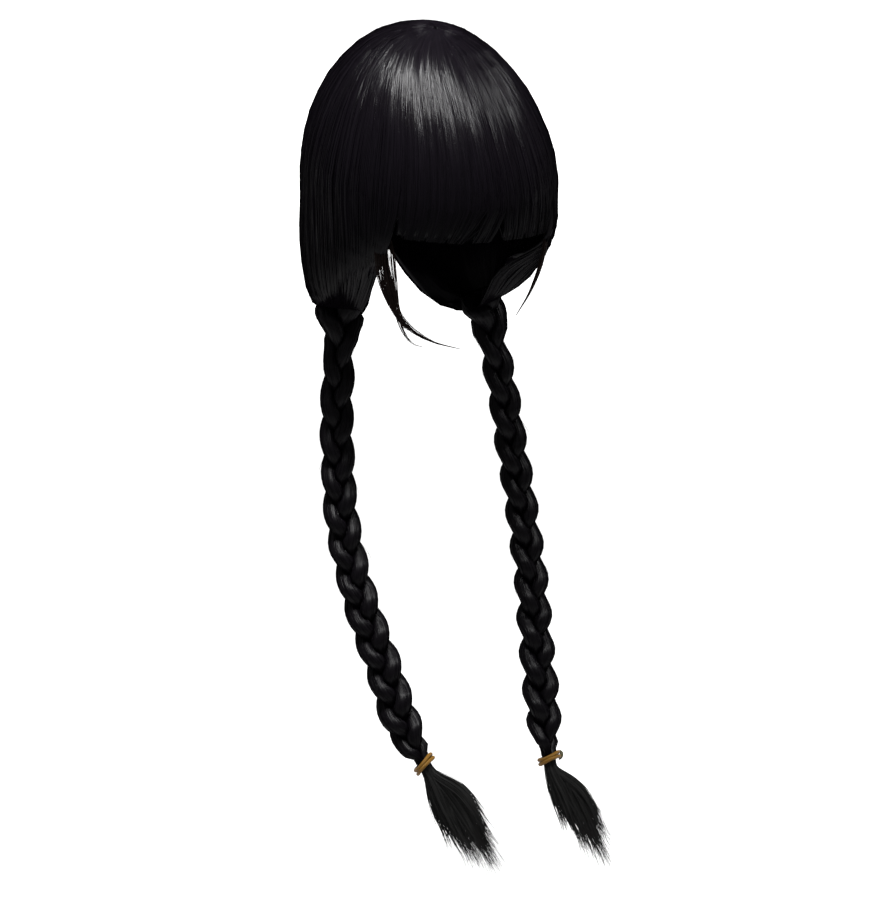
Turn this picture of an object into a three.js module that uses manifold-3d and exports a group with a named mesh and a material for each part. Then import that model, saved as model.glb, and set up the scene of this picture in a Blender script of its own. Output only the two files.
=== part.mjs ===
// Pigtail wig: a smooth dome of straight black hair with a blunt fringe, parted down the back into two halves
// that are gathered behind the ears and run down as two long three-strand braids, tied off above a loose tail.
//
// Millimetres, +Z up. The wearer looks along -Y and the wearer's right is at -X. The origin is the inner vertex
// of the cap, the point that sits on the crown of the head.

import * as THREE from "three";
import { mergeVertices } from "three/addons/utils/BufferGeometryUtils.js";
import Module from "manifold-3d";

const wasm = await Module();
wasm.setup();

const GAP = 0.3;

// The head that the cap is sized for: half an ellipsoid over the ears, 50 cm round, and the neck below it.
const head = { halfBreadth: 72, halfLength: 87, crown: 92, neckRadius: 46, neckBack: 12, neckDrop: 110 };

// The net cap inside, cut to a hairline that is high on the forehead and low on the nape.
const cap = { wall: 1.6, foreheadDrop: 46, earDrop: 84, napeDrop: 138, turns: 20, levels: 6 };

// How far the hair stands out from the head at its sides, front, back and top.
const volume = { side: 16, front: 21, back: 23, top: 17 };

// The outer dome of hair over the cap. Fullness is the power of its profile: 2 is a plain ellipse.
const dome = {
  halfBreadth: head.halfBreadth + volume.side,
  front: head.halfLength + volume.front,
  back: head.halfLength + volume.back,
  centreDrop: head.crown,
  rise: head.crown + volume.top,
  frontFullness: 1.56,
  backFullness: 2.19,
  whorlFront: 15,
  whorlRadius: 2,
  topSpread: 22,
  levels: 8,
  reliefRows: 3,
};

// The fringe: from the whorl to a blunt edge over the eyes, with two narrow slits near its middle.
const fringe = {
  halfAngle: 40,
  hang: 25,
  edgeSlant: 6,
  tuck: 6,
  thickTop: 26,
  thickEdge: 5,
  thinFrom: 4,
  thinRows: 6,
  locks: 10,
  lockRelief: 0.9,
  ragged: 1.6,
  hangRows: 3,
  slitHeight: 25,
};
// The slits: places across as shares of the dome's half breadth, and heights as shares of the slit height.
const slits = [
  { top: -0.034, height: 1, left: -0.227, right: -0.165 },
  { top: 0.108, height: 0.84, left: 0.028, right: 0.119 },
];

// Guide lines of the side hair, front to back. Each leaves the dome's widest line at an angle from the front,
// hangs, turned on and drawn in, then sweeps to its place round the gather above the braid, where 0 degrees is
// outwards and 90 is in front. Hang and sweep are shares of the fall from the widest line to the gather.
const sideGuides = [
  { angle: 40, hangAngle: 46, hang: 0.33, drawn: 0.98, sweep: 0.66, sweepShare: 0.5, gatherAngle: 142 },
  { angle: 58, hangAngle: 59, hang: 0.39, drawn: 0.98, sweep: 0.74, sweepShare: 0.48, gatherAngle: 96 },
  { angle: 80, hangAngle: 79, hang: 0.54, drawn: 1.0, sweep: 0.84, sweepShare: 0.4, gatherAngle: 45 },
  { angle: 104, hangAngle: 103, hang: 0.65, drawn: 1.02, sweep: 0.86, sweepShare: 0.38, gatherAngle: -5 },
  { angle: 130, hangAngle: 129, hang: 0.66, drawn: 0.98, sweep: 0.91, sweepShare: 0.42, gatherAngle: -60 },
  { angle: 156, hangAngle: 154, hang: 0.64, drawn: 0.93, sweep: 0.99, sweepShare: 0.5, gatherAngle: -130 },
  { angle: 180, hangAngle: 179, hang: 0.6, drawn: 0.88, sweep: 1.06, sweepShare: 0.55, gatherAngle: -206 },
];
const side = {
  locks: 7,
  lockRelief: 1.1,
  thickTop: 26,
  thickHang: 9,
  thickFront: 5,
  frontShare: 0.25,
  thinFrom: 4,
  thinRows: 4,
  rollFrom: 0.3,
  partGap: 0.7,
  sweepLevels: 7,
};
// The gather: half sizes of the bundle above the braid and the share of it left hollow at its core.
const gather = { out: 20, deep: 16, core: 0.25 };

// The braids: how far below the crown they start, how far they fall to the elastic, how far out they hang, how
// far in front of the middle they end, how far their ends bend outwards, and how late the crossings in their
// upper half come, as a share of the length.
const braidSizes = {
  right: { top: 181, fall: 325, spread: 73, reach: 102, bend: -4, late: 0.042 },
  left: { top: 188, fall: 340, spread: 77, reach: 100, bend: 2, late: 0.018 },
};
// The route of a braid's centre line, as shares of its fall, its spread, its reach to the front and its bend.
const braidRoute = [
  { down: 0, out: 0.73, front: -0.325, bend: 0 },
  { down: 0.045, out: 0.79, front: -0.28, bend: 0 },
  { down: 0.105, out: 0.83, front: -0.242, bend: 0 },
  { down: 0.19, out: 0.89, front: -0.186, bend: 0 },
  { down: 0.28, out: 0.94, front: -0.13, bend: 0 },
  { down: 0.37, out: 0.97, front: -0.065, bend: 0 },
  { down: 0.46, out: 1.0, front: 0.02, bend: 0 },
  { down: 0.55, out: 1.0, front: 0.13, bend: 0 },
  { down: 0.635, out: 0.98, front: 0.27, bend: 0 },
  { down: 0.72, out: 0.93, front: 0.42, bend: 0 },
  { down: 0.8, out: 0.87, front: 0.58, bend: 0 },
  { down: 0.885, out: 0.82, front: 0.74, bend: 0 },
  { down: 0.95, out: 0.77, front: 0.87, bend: 0.3 },
  { down: 1, out: 0.72, front: 1, bend: 1 },
];
const braid = {
  swing: 6.3,
  weave: 4.2,
  strandWidth: 6.5,
  strandDepth: 5,
  periods: 4.33,
  lateRise: 0.6,
  stationsPerPeriod: 18,
  sides: 6,
  strandGap: 0.95,
  crossingGap: 1.5,
  endGap: 0.5,
};
// Girth of the braid along its length, as a share of the plain section.
const braidGirth = [
  { along: 0, girth: 1.25 },
  { along: 0.04, girth: 1.5 },
  { along: 0.085, girth: 1.05 },
  { along: 0.115, girth: 0.88 },
  { along: 0.17, girth: 0.94 },
  { along: 0.3, girth: 0.98 },
  { along: 0.55, girth: 1.02 },
  { along: 0.75, girth: 1.08 },
  { along: 0.9, girth: 1.12 },
  { along: 0.965, girth: 0.84 },
  { along: 0.986, girth: 0.46 },
  { along: 1, girth: 0.42 },
];
const facing = { right: -20, left: 2 };

// The elastics: cord radius, and its flat inner face and pitch as shares of that radius.
const elastic = {
  cord: 1.5,
  wraps: 2,
  turns: 14,
  clear: 0.9,
  tilt: -16,
  pitch: 0.92,
  flat: 0.8,
  ridge: [-60, 0, 60],
};

// Loose tails below the elastics: where the middle of each tail ends, and its locks across the fan.
const tailEnds = {
  right: { drop: 70, out: -34, front: 30, lean: 2 },
  left: { drop: 68, out: 25, front: 32, lean: 1 },
};
const tail = {
  fan: 15,
  depth: 7,
  root: 0.7,
  rootSpread: 0.22,
  rootOver: 1,
  belly: 7.4,
  bellyFrom: 0.35,
  fullTo: 0.5,
  finest: 0.4,
  flatness: 0.85,
  neck: 8,
  spreadAt: 0.38,
  spreadAcross: 0.7,
  spreadDeep: 0.8,
  sides: 5,
  stations: 6,
};
const tailLocks = [
  { across: -1.0, depth: 0.1, length: 0.8, girth: 0.8 },
  { across: -0.62, depth: -0.7, length: 1.02, girth: 0.95 },
  { across: -0.3, depth: 0.6, length: 1.08, girth: 1.0 },
  { across: 0.05, depth: -0.2, length: 1.2, girth: 1.05 },
  { across: 0.4, depth: 0.6, length: 1.18, girth: 1.0 },
  { across: 0.72, depth: -0.5, length: 1.0, girth: 0.9 },
  { across: 1.0, depth: 0.1, length: 0.76, girth: 0.8 },
];

// Thin locks that hang free in front of the ears, rooted under the side hair: one flat lock with wisps on the
// right, and one wisp on the left. Widths and thicknesses are shares of the temple's sizes; places are shares,
// down of its length, out of the head's half breadth and front of its half length.
const templeSizes = {
  right: { length: 98, width: 7, thick: 1.6 },
  left: { length: 82, width: 2.6, thick: 1.2 },
};
const templeLocks = {
  right: [
    {
      width: 1,
      thick: 1,
      route: [
        { down: 0, out: 0.89, front: 0.63 },
        { down: 0.25, out: 0.86, front: 0.76 },
        { down: 0.51, out: 0.82, front: 0.76 },
        { down: 0.74, out: 0.74, front: 0.78 },
        { down: 0.87, out: 0.65, front: 0.84 },
      ],
    },
    {
      width: 0.23,
      thick: 0.62,
      route: [
        { down: 0.74, out: 0.74, front: 0.78 },
        { down: 0.85, out: 0.64, front: 0.85 },
        { down: 0.94, out: 0.46, front: 0.94 },
        { down: 1, out: 0.19, front: 1.03 },
      ],
    },
    {
      width: 0.17,
      thick: 0.56,
      route: [
        { down: 0.68, out: 0.757, front: 0.776 },
        { down: 0.85, out: 0.71, front: 0.816 },
        { down: 0.95, out: 0.64, front: 0.874 },
        { down: 0.98, out: 0.53, front: 0.92 },
      ],
    },
  ],
  left: [
    {
      width: 1,
      thick: 1,
      route: [
        { down: 0, out: 0.89, front: 0.63 },
        { down: 0.28, out: 0.875, front: 0.736 },
        { down: 0.55, out: 0.82, front: 0.77 },
        { down: 0.8, out: 0.65, front: 0.85 },
        { down: 1, out: 0.42, front: 0.94 },
      ],
    },
  ],
};
const temple = {
  rootDrop: 96,
  sides: 5,
  stations: 7,
  root: 0.5,
  fullAt: 0.45,
  tip: 0.14,
  finest: 0.4,
  wideOut: 0.75,
  wideBack: 0.65,
};

const materials = {
  hair: { color: 0x0b090c, roughness: 0.36, metalness: 0 },
  tail: { color: 0x151416, roughness: 0.45, metalness: 0 },
  cap: { color: 0x121114, roughness: 0.85, metalness: 0 },
  elastic: { color: 0xb4842f, roughness: 0.5, metalness: 0 },
};

const rad = THREE.MathUtils.degToRad;
const lerp = THREE.MathUtils.lerp;
const smooth = (x) => THREE.MathUtils.smoothstep(x, 0, 1);
const mirrorOf = { right: -1, left: 1 };

// A vector for a place given as out from the middle, in front of it and below the crown.
const place = (hand, { out, front, drop }) => new THREE.Vector3(mirrorOf[hand] * out, -front, -drop);

// Reads a column of a table at a place between its rows.
function column(rows, key, name, at) {
  const next = Math.max(1, rows.findIndex((row) => row[key] >= at));
  const after = rows[at > rows.at(-1)[key] ? rows.length - 1 : next];
  const before = rows[rows.indexOf(after) - 1];
  const share = smooth((at - before[key]) / (after[key] - before[key]));
  return lerp(before[name], after[name], share);
}

// A closed body from rings of equal length, with a fan of triangles closing each end.
function loft(rings, startPoint, endPoint) {
  const count = rings[0].length;
  const centre = (ring) => ring.reduce((sum, p) => sum.add(p), new THREE.Vector3()).divideScalar(count);
  const points = [...rings.flat(), startPoint ?? centre(rings[0]), endPoint ?? centre(rings.at(-1))];
  const [first, last] = [points.length - 2, points.length - 1];
  const faces = [];
  for (let k = 0; k < count; k += 1) {
    const next = (k + 1) % count;
    faces.push(first, next, k);
    const lastRing = (rings.length - 1) * count;
    faces.push(last, lastRing + k, lastRing + next);
    for (let r = 0; r + 1 < rings.length; r += 1) {
      const [a, b] = [r * count, (r + 1) * count];
      faces.push(a + k, a + next, b + next);
      faces.push(a + k, b + next, b + k);
    }
  }
  return geometryOf(points, faces);
}

// A closed ring-shaped body from sections set round a loop.
function loop(sections) {
  const count = sections[0].length;
  const faces = [];
  sections.forEach((section, r) => {
    const [a, b] = [r * count, ((r + 1) % sections.length) * count];
    section.forEach((point, k) => {
      const next = (k + 1) % count;
      faces.push(a + k, a + next, b + next);
      faces.push(a + k, b + next, b + k);
    });
  });
  return geometryOf(sections.flat(), faces);
}

// A closed sheet between an outer and an inner grid of points, both as rows of equal length.
function sheet(outer, inner) {
  const rows = outer.length;
  const columns = outer[0].length;
  const at = (layer, r, c) => (layer * rows + r) * columns + c;
  const faces = [];
  const quad = (a, b, c, d) => faces.push(a, b, c, a, c, d);
  for (let r = 0; r + 1 < rows; r += 1) {
    for (let c = 0; c + 1 < columns; c += 1) {
      quad(at(0, r, c), at(0, r, c + 1), at(0, r + 1, c + 1), at(0, r + 1, c));
      quad(at(1, r, c), at(1, r + 1, c), at(1, r + 1, c + 1), at(1, r, c + 1));
    }
    quad(at(0, r, 0), at(0, r + 1, 0), at(1, r + 1, 0), at(1, r, 0));
    const c = columns - 1;
    quad(at(0, r + 1, c), at(0, r, c), at(1, r, c), at(1, r + 1, c));
  }
  for (let c = 0; c + 1 < columns; c += 1) {
    quad(at(0, 0, c + 1), at(0, 0, c), at(1, 0, c), at(1, 0, c + 1));
    const r = rows - 1;
    quad(at(0, r, c), at(0, r, c + 1), at(1, r, c + 1), at(1, r, c));
  }
  return geometryOf([...outer.flat(), ...inner.flat()], faces);
}

// A geometry from points and faces, turned so that its faces point out.
function geometryOf(points, faces) {
  const geometry = new THREE.BufferGeometry().setFromPoints(points);
  const [a, b, c] = [new THREE.Vector3(), new THREE.Vector3(), new THREE.Vector3()];
  let volume = 0;
  for (let i = 0; i < faces.length; i += 3) {
    [a, b, c].forEach((corner, k) => corner.copy(points[faces[i + k]]));
    volume += a.dot(b.cross(c));
  }
  if (volume < 0) {
    for (let i = 0; i < faces.length; i += 3) {
      [faces[i + 1], faces[i + 2]] = [faces[i + 2], faces[i + 1]];
    }
  }
  geometry.setIndex(faces);
  return geometry;
}

function solidOf(geometry) {
  const bare = geometry.clone();
  bare.deleteAttribute("normal");
  bare.deleteAttribute("uv");
  const merged = mergeVertices(bare, 1e-3);
  const vertProperties = new Float32Array(merged.attributes.position.array);
  const triVerts = new Uint32Array(merged.index.array);
  return new wasm.Manifold(new wasm.Mesh({ numProp: 3, vertProperties, triVerts }));
}

function geometryFrom(solid) {
  const { vertProperties, triVerts } = solid.getMesh();
  const geometry = new THREE.BufferGeometry();
  geometry.setAttribute("position", new THREE.BufferAttribute(new Float32Array(vertProperties), 3));
  geometry.setIndex(new THREE.BufferAttribute(new Uint32Array(triVerts), 1));
  geometry.computeVertexNormals();
  return geometry;
}

// A point on the head, grown by a margin, at an angle from the front and a drop below the crown.
function onHead(angle, drop, margin) {
  const level = (head.crown - drop) / (head.crown + margin);
  const round = Math.sqrt(Math.max(0, 1 - level * level));
  return new THREE.Vector3(
    (head.halfBreadth + margin) * round * Math.sin(angle),
    -(head.halfLength + margin) * round * Math.cos(angle),
    -drop,
  );
}

// One ring of the head at a share of the way from the crown to a rim drop that changes with the angle.
function headRing(turns, share, rimDrop, margin) {
  return Array.from({ length: turns }, (_, k) => {
    const angle = (k / turns) * 2 * Math.PI;
    const rim = rimDrop(angle);
    const rimTurn = Math.acos((head.crown - rim) / (head.crown + margin));
    const drop = head.crown - (head.crown + margin) * Math.cos(rimTurn * share);
    return onHead(angle, drop, margin);
  });
}

// The hairline: high in front, round the ears, low on the nape.
function hairline(angle) {
  const back = (1 - Math.cos(angle)) / 2;
  const overEar = lerp(cap.foreheadDrop, cap.earDrop, smooth(back * 2));
  return back < 0.5 ? overEar : lerp(cap.earDrop, cap.napeDrop, smooth(back * 2 - 1));
}

function capGeometry() {
  const rings = [];
  for (let k = 1; k <= cap.levels; k += 1) {
    rings.push(headRing(cap.turns, k / cap.levels, hairline, cap.wall));
  }
  for (let k = cap.levels; k >= 1; k -= 1) {
    rings.push(headRing(cap.turns, k / cap.levels, hairline, 0));
  }
  return loft(rings, new THREE.Vector3(0, 0, cap.wall), new THREE.Vector3(0, 0, 0));
}

// The room that the hair leaves for the cap, the head and the neck.
function headRoom() {
  const margin = cap.wall + GAP;
  const rings = [];
  for (let k = 1; k <= cap.levels; k += 1) {
    rings.push(headRing(cap.turns, k / cap.levels, hairline, margin));
  }
  const equator = (angle) => Math.max(head.crown, hairline(angle));
  rings.push(headRing(cap.turns, 1, equator, margin));
  const neck = Array.from({ length: cap.turns }, (_, k) => {
    const angle = (k / cap.turns) * 2 * Math.PI;
    const radius = head.neckRadius;
    return new THREE.Vector3(
      radius * Math.sin(angle),
      head.neckBack - radius * Math.cos(angle),
      -(head.crown + head.neckDrop),
    );
  });
  rings.push(neck);
  return solidOf(loft(rings, new THREE.Vector3(0, 0, margin)));
}

// A point on the dome's widest outline, seen from above, at an angle from the front.
function outline(angle) {
  const reach = Math.cos(angle) > 0 ? dome.front : dome.back;
  return new THREE.Vector2(dome.halfBreadth * Math.sin(angle), -reach * Math.cos(angle));
}

// The dome over a point seen from above, with its profile fuller at the back than in front.
function domeHeight(x, y) {
  const reach = y < 0 ? dome.front : dome.back;
  const radius = Math.hypot(x / dome.halfBreadth, y / reach);
  const forward = radius > 0 ? (1 - y / reach / radius) / 2 : 0.5;
  const power = lerp(dome.backFullness, dome.frontFullness, forward);
  return -dome.centreDrop + dome.rise * Math.pow(Math.max(0, 1 - Math.pow(radius, power)), 1 / power);
}

// A place on a line of hair that runs from the whorl to the widest outline, at a share of its way. Lines that
// end over the temples leave the whorl further round and bend forwards on their way down.
function onDome(endAngle, share) {
  const bend = rad(dome.topSpread) * Math.sin(endAngle) * (1 + Math.cos(endAngle));
  const angle = endAngle + bend * (1 - smooth(share));
  const whorl = new THREE.Vector2(0, -dome.whorlFront);
  const end = outline(angle);
  const start = whorl.clone().addScaledVector(end.clone().sub(whorl).normalize(), dome.whorlRadius);
  const plan = start.lerp(end, share);
  return new THREE.Vector3(plan.x, plan.y, domeHeight(plan.x, plan.y));
}

// Shares of the way at even turns of the profile, so that the steep outer part gets its own rows.
const domeShare = (k) => Math.sin((k / dome.levels) * (Math.PI / 2));

// Moves a point of hair towards the middle of the head by a thickness.
function inwards(point, thick) {
  const middle = new THREE.Vector3(0, 0, Math.min(-dome.centreDrop, point.z));
  return point.clone().addScaledVector(middle.sub(point).normalize(), thick);
}

// The relief of a lock: its middle stands proud of the grooves beside it.
const lockRelief = (share, locks, relief) => relief * (Math.abs(Math.sin(share * locks * Math.PI)) - 0.5);

const fringeDrop = dome.centreDrop + fringe.hang;

function fringeGeometry() {
  const columns = fringe.locks * 2;
  const outer = [];
  const inner = [];
  const margin = side.partGap / 2;
  for (let r = 0; r <= dome.levels + fringe.hangRows; r += 1) {
    const hang = Math.max(0, r - dome.levels) / fringe.hangRows;
    const domePart = domeShare(Math.min(r, dome.levels));
    const outerRow = [];
    const innerRow = [];
    for (let c = 0; c <= columns; c += 1) {
      const share = c / columns;
      const angle = rad(lerp(-fringe.halfAngle, fringe.halfAngle, share));
      const top = onDome(angle, domePart);
      const edge = fringeDrop + fringe.edgeSlant * (share - 0.5) + (c % 2 ? fringe.ragged : 0);
      const inset = 1 - (fringe.tuck / dome.front) * hang * hang;
      const point = new THREE.Vector3(top.x, top.y * inset, lerp(top.z, -edge, hang));
      const relief = lockRelief(share, fringe.locks, fringe.lockRelief) * Math.min(1, r / dome.reliefRows);
      const proud = inwards(point, -relief);
      const sideways = (c === 0 ? margin : 0) - (c === columns ? margin : 0);
      const thick = lerp(fringe.thickTop, fringe.thickEdge, smooth((r - fringe.thinFrom) / fringe.thinRows));
      const deep = inwards(point, thick);
      proud.x += sideways;
      deep.x += sideways;
      outerRow.push(proud);
      innerRow.push(deep);
    }
    outer.push(outerRow);
    inner.push(innerRow);
  }
  const room = headRoom().add(templeSolid("right", GAP)).add(templeSolid("left", GAP));
  let solid = solidOf(sheet(outer, inner)).subtract(room);
  const low = fringeDrop + fringe.edgeSlant + fringe.ragged;
  for (const slit of slits) {
    const wedgeOutline = new THREE.Shape([
      new THREE.Vector2(slit.top * dome.halfBreadth, fringe.slitHeight * slit.height - fringeDrop),
      new THREE.Vector2(slit.left * dome.halfBreadth, -low),
      new THREE.Vector2(slit.right * dome.halfBreadth, -low),
    ]);
    const wedge = new THREE.ExtrudeGeometry(wedgeOutline, { depth: dome.front, bevelEnabled: false });
    wedge.rotateX(Math.PI / 2);
    wedge.translate(0, -dome.front / 2, 0);
    solid = solid.subtract(solidOf(wedge));
  }
  return geometryFrom(solid);
}

// The chosen points of a braid's centre line.
function braidPoints(hand) {
  const sizes = braidSizes[hand];
  return braidRoute.map(({ down, out, front, bend }) =>
    place(hand, {
      out: out * sizes.spread + bend * sizes.bend,
      front: front * sizes.reach,
      drop: sizes.top + down * sizes.fall,
    }),
  );
}

// The frame of the gather, worked out on the left side for both hands: its centre, which is the top of the
// braid, and the two directions of its section.
function gatherFrame(hand) {
  const [centre, next] = braidPoints(hand).map(({ x, y, z }) => new THREE.Vector3(Math.abs(x), y, z));
  const axis = next.clone().sub(centre).normalize();
  const across = new THREE.Vector3(1, 0, 0);
  across.addScaledVector(axis, -across.dot(axis)).normalize();
  const frontwards = new THREE.Vector3().crossVectors(across, axis);
  frontwards.multiplyScalar(frontwards.y > 0 ? -1 : 1);
  return { centre, across, frontwards };
}

// A line of side hair from the whorl to the gather, at a share of the way round from the fringe to the back.
function sideLine(frame, share) {
  const at = share * (sideGuides.length - 1);
  const low = Math.min(Math.floor(at), sideGuides.length - 2);
  const mix = (name) => lerp(sideGuides[low][name], sideGuides[low + 1][name], at - low);
  const line = [];
  for (let k = 0; k <= dome.levels; k += 1) {
    line.push(onDome(rad(mix("angle")), domeShare(k)));
  }
  const hangPlan = outline(rad(mix("hangAngle"))).multiplyScalar(mix("drawn"));
  const fallTo = (share) => lerp(-dome.centreDrop, frame.centre.z, share);
  const hang = new THREE.Vector3(hangPlan.x, hangPlan.y, fallTo(mix("hang")));
  const turn = rad(mix("gatherAngle"));
  const end = frame.centre.clone();
  end.addScaledVector(frame.across, gather.out * Math.cos(turn));
  end.addScaledVector(frame.frontwards, gather.deep * Math.sin(turn));
  const sweep = hang.clone().lerp(end, mix("sweepShare"));
  sweep.z = fallTo(mix("sweep"));
  const curve = new THREE.CatmullRomCurve3([line.at(-1), hang, sweep, end], false, "centripetal");
  curve.getSpacedPoints(side.sweepLevels).slice(1).forEach((point) => line.push(point));
  return line;
}

// One half of the side hair: a thick shell over the dome that rolls up into the bundle above its braid.
function sideGeometry(hand) {
  const columns = side.locks * 2;
  const frame = gatherFrame(hand);
  const lines = Array.from({ length: columns + 1 }, (_, c) => sideLine(frame, c / columns));
  const rows = lines[0].length;
  const outer = [];
  const inner = [];
  for (let r = 0; r < rows; r += 1) {
    const sweep = Math.max(0, r - dome.levels) / (rows - 1 - dome.levels);
    const rolled = smooth((sweep - side.rollFrom) / (1 - side.rollFrom));
    outer.push([]);
    inner.push([]);
    lines.forEach((line, c) => {
      const share = c / columns;
      const point = line[r];
      const relief = lockRelief(share, side.locks, side.lockRelief) * Math.min(1, r / dome.reliefRows);
      const toCore = frame.centre.clone().sub(point);
      const middle = new THREE.Vector3(0, 0, Math.min(-dome.centreDrop, point.z)).sub(point);
      const hanging = lerp(side.thickFront, side.thickHang, smooth(share / side.frontShare));
      const thick = lerp(side.thickTop, hanging, smooth((r - side.thinFrom) / side.thinRows));
      const depth = lerp(thick, toCore.length() * (1 - gather.core), rolled);
      const inward = middle.normalize().lerp(toCore.normalize(), rolled).normalize();
      const proud = point.clone().addScaledVector(inward, -relief);
      const deep = point.clone().addScaledVector(inward, depth);
      for (const edge of [proud, deep]) {
        edge.x = c === 0 ? edge.x + side.partGap / 2 : edge.x;
        edge.x = c === columns ? Math.max(edge.x, side.partGap / 2) : edge.x;
        edge.x *= mirrorOf[hand];
      }
      outer[r].push(proud);
      inner[r].push(deep);
    });
  }
  const room = headRoom().add(templeSolid(hand, GAP));
  return geometryFrom(solidOf(sheet(outer, inner)).subtract(room));
}

// The centre line of a braid with its frame at any share of its length.
function braidLine(hand) {
  const curve = new THREE.CatmullRomCurve3(braidPoints(hand), false, "centripetal");
  const facingAngle = rad(facing[hand]);
  const level = new THREE.Vector3(Math.cos(facingAngle), Math.sin(facingAngle), 0);
  return {
    length: curve.getLength(),
    frame(share) {
      const centre = curve.getPointAt(share);
      const axis = curve.getTangentAt(share);
      const across = level.clone().addScaledVector(axis, -level.dot(axis)).normalize();
      const outwards = new THREE.Vector3().crossVectors(across, axis).normalize();
      return { centre, axis, across, outwards };
    },
  };
}

// Where the three strands of a braid cross its section after a share of their turns.
function strandCentres(turned, girth) {
  const phase = turned * braid.periods * 2 * Math.PI;
  return [0, 1, 2].map((k) => {
    const turn = phase + (k * 2 * Math.PI) / 3;
    return new THREE.Vector2(girth * braid.swing * Math.sin(turn), girth * braid.weave * Math.sin(2 * turn));
  });
}

// The section of one strand: an ellipse cut back to half of the gap from its neighbours.
function strandSection(index, centres, girth) {
  const own = centres[index];
  return Array.from({ length: braid.sides }, (_, k) => {
    const turn = (k / braid.sides) * 2 * Math.PI;
    const ray = new THREE.Vector2(Math.cos(turn), Math.sin(turn));
    const wide = girth * braid.strandWidth;
    const deep = girth * braid.strandDepth;
    let reach = 1 / Math.hypot(ray.x / wide, ray.y / deep);
    centres.forEach((other, n) => {
      if (n === index) return;
      const towards = other.clone().sub(own);
      const distance = towards.length();
      const lean = ray.dot(towards.divideScalar(distance));
      if (lean > 1e-3) {
        const apart = Math.abs(other.x - own.x) / (Math.sqrt(3) * braid.swing * girth);
        const crossing = braid.crossingGap * Math.max(0, 1 - apart);
        const clear = (braid.strandGap + crossing) * Math.max(1, girth);
        reach = Math.min(reach, (distance - clear) / 2 / lean);
      }
    });
    return own.clone().addScaledVector(ray, reach);
  });
}

function strandGeometry(hand, index) {
  const line = braidLine(hand);
  const stations = Math.round(braid.periods * braid.stationsPerPeriod);
  const startShare = braid.endGap / line.length;
  const rings = Array.from({ length: stations + 1 }, (_, k) => {
    const turned = lerp(startShare, 1, k / stations);
    const share = turned + braidSizes[hand].late * Math.sin(Math.PI * (k / stations) ** braid.lateRise);
    const girth = column(braidGirth, "along", "girth", share);
    const { centre, across, outwards } = line.frame(share);
    const section = strandSection(index, strandCentres(turned, girth), girth);
    return section.map((p) => centre.clone().addScaledVector(across, p.x).addScaledVector(outwards, p.y));
  });
  return loft(rings);
}

// The half width of a braid's end, which its elastic and its tail fit.
const braidEnd = braidGirth.at(-1).girth * (braid.swing + braid.strandWidth);

// The elastic: a ring of soft cord wound twice round the braid's end.
function elasticGeometry(hand) {
  const { centre, axis, across, outwards } = braidLine(hand).frame(1);
  const inside = braidEnd + elastic.clear;
  const lobes = [];
  for (let w = 0; w < elastic.wraps; w += 1) {
    const middle = (w - (elastic.wraps - 1) / 2) * 2 * elastic.cord * elastic.pitch;
    for (const turn of elastic.ridge) {
      lobes.push([elastic.cord * (1 + Math.cos(rad(turn))), middle + elastic.cord * Math.sin(rad(turn))]);
    }
  }
  const half = elastic.wraps * elastic.cord * elastic.pitch;
  const flat = half * elastic.flat;
  const lip = elastic.cord / 2;
  const profile = [[0, flat], [0, -flat], [lip, -half], ...lobes, [lip, half]];
  const sections = Array.from({ length: elastic.turns }, (_, k) => {
    const turn = (k / elastic.turns) * 2 * Math.PI;
    const ray = across.clone().multiplyScalar(Math.cos(turn)).addScaledVector(outwards, Math.sin(turn));
    const rise = Math.tan(rad(elastic.tilt)) * Math.cos(turn);
    return profile.map(([out, up]) => {
      const reach = inside + out;
      return centre.clone().addScaledVector(ray, reach).addScaledVector(axis, up + rise * reach);
    });
  });
  return loop(sections);
}

// A tapering lock along a curve: wide across a given direction, thinner in the other.
function lockGeometry(curve, wideWay, widths, thicks, sides) {
  const stations = widths.length - 1;
  const rings = widths.map((wide, k) => {
    const share = k / stations;
    const centre = curve.getPointAt(share);
    const axis = curve.getTangentAt(share);
    const across = wideWay.clone().addScaledVector(axis, -wideWay.dot(axis)).normalize();
    const other = new THREE.Vector3().crossVectors(axis, across);
    return Array.from({ length: sides }, (_, n) => {
      const turn = (n / sides) * 2 * Math.PI;
      return centre
        .clone()
        .addScaledVector(across, wide * Math.cos(turn))
        .addScaledVector(other, thicks[k] * Math.sin(turn));
    });
  });
  return loft(rings);
}

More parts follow.
